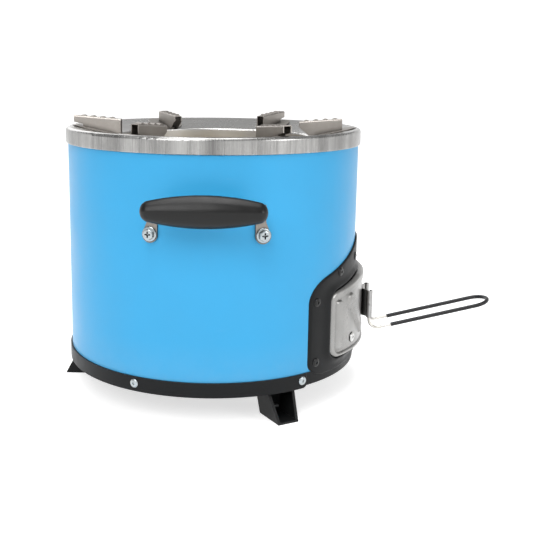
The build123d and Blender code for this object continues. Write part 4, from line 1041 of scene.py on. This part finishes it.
class COOKSTOVE_OT_stage(Operator):
    """Make the floor, the light and the camera"""
    bl_idname = "cookstove.stage"
    bl_label = "Stage"

    def execute(self, context):
        stage = context.scene.cookstove_stage
        self.floor(stage.floor_width)
        self.world(context.scene, stage.world_strength)
        aim = Vector((0.0, 0.0, 0.13))
        for name, place, width, power in (
            ("side_lamp", (-1.5, 0.5, 1.3), 1.0, 17.0),
            ("front_lamp", (-1.1, -1.6, 0.80), 0.7, 9.0),
            ("top_lamp", (-0.3, 0.1, 2.0), 1.2, 25.0),
            ("back_lamp", (1.6, 0.9, 1.2), 1.2, 9.0),
        ):
            self.lamp(name, Vector(place), aim, width, power * stage.lamp_strength)
        self.camera(context.scene)
        context.scene.view_settings.view_transform = "Standard"
        return {"FINISHED"}

    def floor(self, width):
        """Floor that rises into a backdrop all round, white to the eye but keeping the shadow."""
        mesh = bmesh.new()
        flat_shares, sink = (0.06, 0.12, 0.25, 0.5, 0.75), 0.0002
        rise, rise_start, count = width / 5, width * 0.375, 96
        places = [(width / 2 * share, 0.0) for share in flat_shares]
        for turn in (math.radians(angle) for angle in range(10, 91, 10)):
            places.append((rise_start + rise * math.sin(turn), rise * (1 - math.cos(turn))))
        rings = [[mesh.verts.new((0.0, 0.0, 0.0))]]
        turns = [math.tau * i / count for i in range(count)]
        for radius, height in places:
            rings.append([
                mesh.verts.new((radius * math.cos(turn), radius * math.sin(turn), height)) for turn in turns
            ])
        chain(mesh, rings)
        floor = mesh_object("stage_floor", mesh)
        floor.location.z = -sink
        made = Finish("stage_floor_paint", 0.0, 1.0)
        made.tree.nodes.remove(made.shader)
        seen = made.step("ShaderNodeLightPath").outputs
        clear = made.sum("MAXIMUM", seen["Is Glossy Ray"], seen["Is Transmission Ray"])
        matt = made.step("ShaderNodeBsdfDiffuse", {"Color": (0.72, 0.72, 0.72)}).outputs[0]
        glow = made.step("ShaderNodeEmission", {"Strength": 0.66}).outputs[0]
        both = made.step("ShaderNodeAddShader", {0: matt, 1: glow}).outputs[0]
        share = made.sum("MAXIMUM", seen["Is Camera Ray"], clear)
        mix = made.step("ShaderNodeMixShader", {0: share, 1: matt, 2: both}).outputs[0]
        made.plug(made.tree.nodes["Material Output"].inputs["Surface"], mix)
        floor.data.materials.append(made.material)

    def world(self, scene, strength):
        """Even pale light from all round."""
        world = scene.world or bpy.data.worlds.new("studio")
        scene.world = world
        world.use_nodes = True
        back = world.node_tree.nodes["Background"]
        back.inputs["Color"].default_value = (1.0, 1.0, 1.0, 1.0)
        back.inputs["Strength"].default_value = strength

    def lamp(self, name, place, aim, width, power):
        """Square soft lamp that faces the stove."""
        light = bpy.data.lights.new(name, "AREA")
        light.shape = "SQUARE"
        light.size = width
        light.energy = power
        lamp = bpy.data.objects.new(name, light)
        lamp.location = place
        lamp.rotation_mode = "QUATERNION"
        lamp.rotation_quaternion = (aim - place).to_track_quat("-Z", "Y")
        bpy.context.scene.collection.objects.link(lamp)

    def camera(self, scene):
        """Camera beside the stove's left handle, a little above it."""
        data = bpy.data.cameras.new("camera")
        data.sensor_width = 36.0
        data.lens = 59.63
        data.shift_x = 0.0702
        data.shift_y = -0.0737
        data.clip_start = 0.05
        data.clip_end = 20.0
        camera = bpy.data.objects.new("camera", data)
        right = Vector((0.03575761, -0.99931589, 0.00944146))
        up = Vector((0.18007966, 0.01573591, 0.98352615))
        back = -Vector((0.98300189, 0.03346833, -0.18051915))
        turn = Matrix((right, up, back)).transposed().to_4x4()
        camera.matrix_world = Matrix.Translation((-0.86271606, -0.04521303, 0.30960)) @ turn
        scene.collection.objects.link(camera)
        scene.camera = camera


def mesh_object(name, mesh):
    """Object with smooth faces from a finished bmesh, which is freed."""
    bmesh.ops.recalc_face_normals(mesh, faces=mesh.faces)
    data = bpy.data.meshes.new(name)
    mesh.to_mesh(data)
    mesh.free()
    data.shade_smooth()
    data.set_sharp_from_angle(angle=sharp_angle)
    made = bpy.data.objects.new(name, data)
    bpy.context.scene.collection.objects.link(made)
    return made


class COOKSTOVE_PT_panel(Panel):
    """Sizes, colours and pieces of the cookstove"""
    bl_idname = "COOKSTOVE_PT_panel"
    bl_label = "Cookstove"
    bl_space_type = "VIEW_3D"
    bl_region_type = "UI"
    bl_category = "Cookstove"

    def draw(self, context):
        for group in setting_groups:
            box = self.layout.box()
            values = getattr(context.scene, group)
            for name in values.__annotations__:
                box.prop(values, name)
        for operator in piece_operators:
            self.layout.operator(operator.bl_idname)


setting_groups = {
    "cookstove_paint": CookstovePaintSettings,
    "cookstove_steel": CookstoveSteelSettings,
    "cookstove_grips": CookstoveGripSettings,
    "cookstove_front": CookstoveFrontSettings,
    "cookstove_stage": CookstoveStageSettings,
}
piece_operators = (
    COOKSTOVE_OT_drum,
    COOKSTOVE_OT_base,
    COOKSTOVE_OT_top,
    COOKSTOVE_OT_hearth,
    COOKSTOVE_OT_bezel,
    COOKSTOVE_OT_drawer,
    COOKSTOVE_OT_wire,
    COOKSTOVE_OT_side_handles,
    COOKSTOVE_OT_stage,
)


def register():
    """Register the settings, the operators and the panel."""
    for group, kind in setting_groups.items():
        bpy.utils.register_class(kind)
        setattr(bpy.types.Scene, group, PointerProperty(type=kind))
    for kind in (*piece_operators, COOKSTOVE_PT_panel):
        bpy.utils.register_class(kind)


def unregister():
    """Take the panel, the operators and the settings out again."""
    for kind in (COOKSTOVE_PT_panel, *reversed(piece_operators)):
        bpy.utils.unregister_class(kind)
    for group, kind in setting_groups.items():
        delattr(bpy.types.Scene, group)
        bpy.utils.unregister_class(kind)


def main():
    """Make every piece."""
    register()
    for kind in piece_operators:
        area, name = kind.bl_idname.split(".")
        getattr(getattr(bpy.ops, area), name)()


if __name__ == "__main__":
    main()
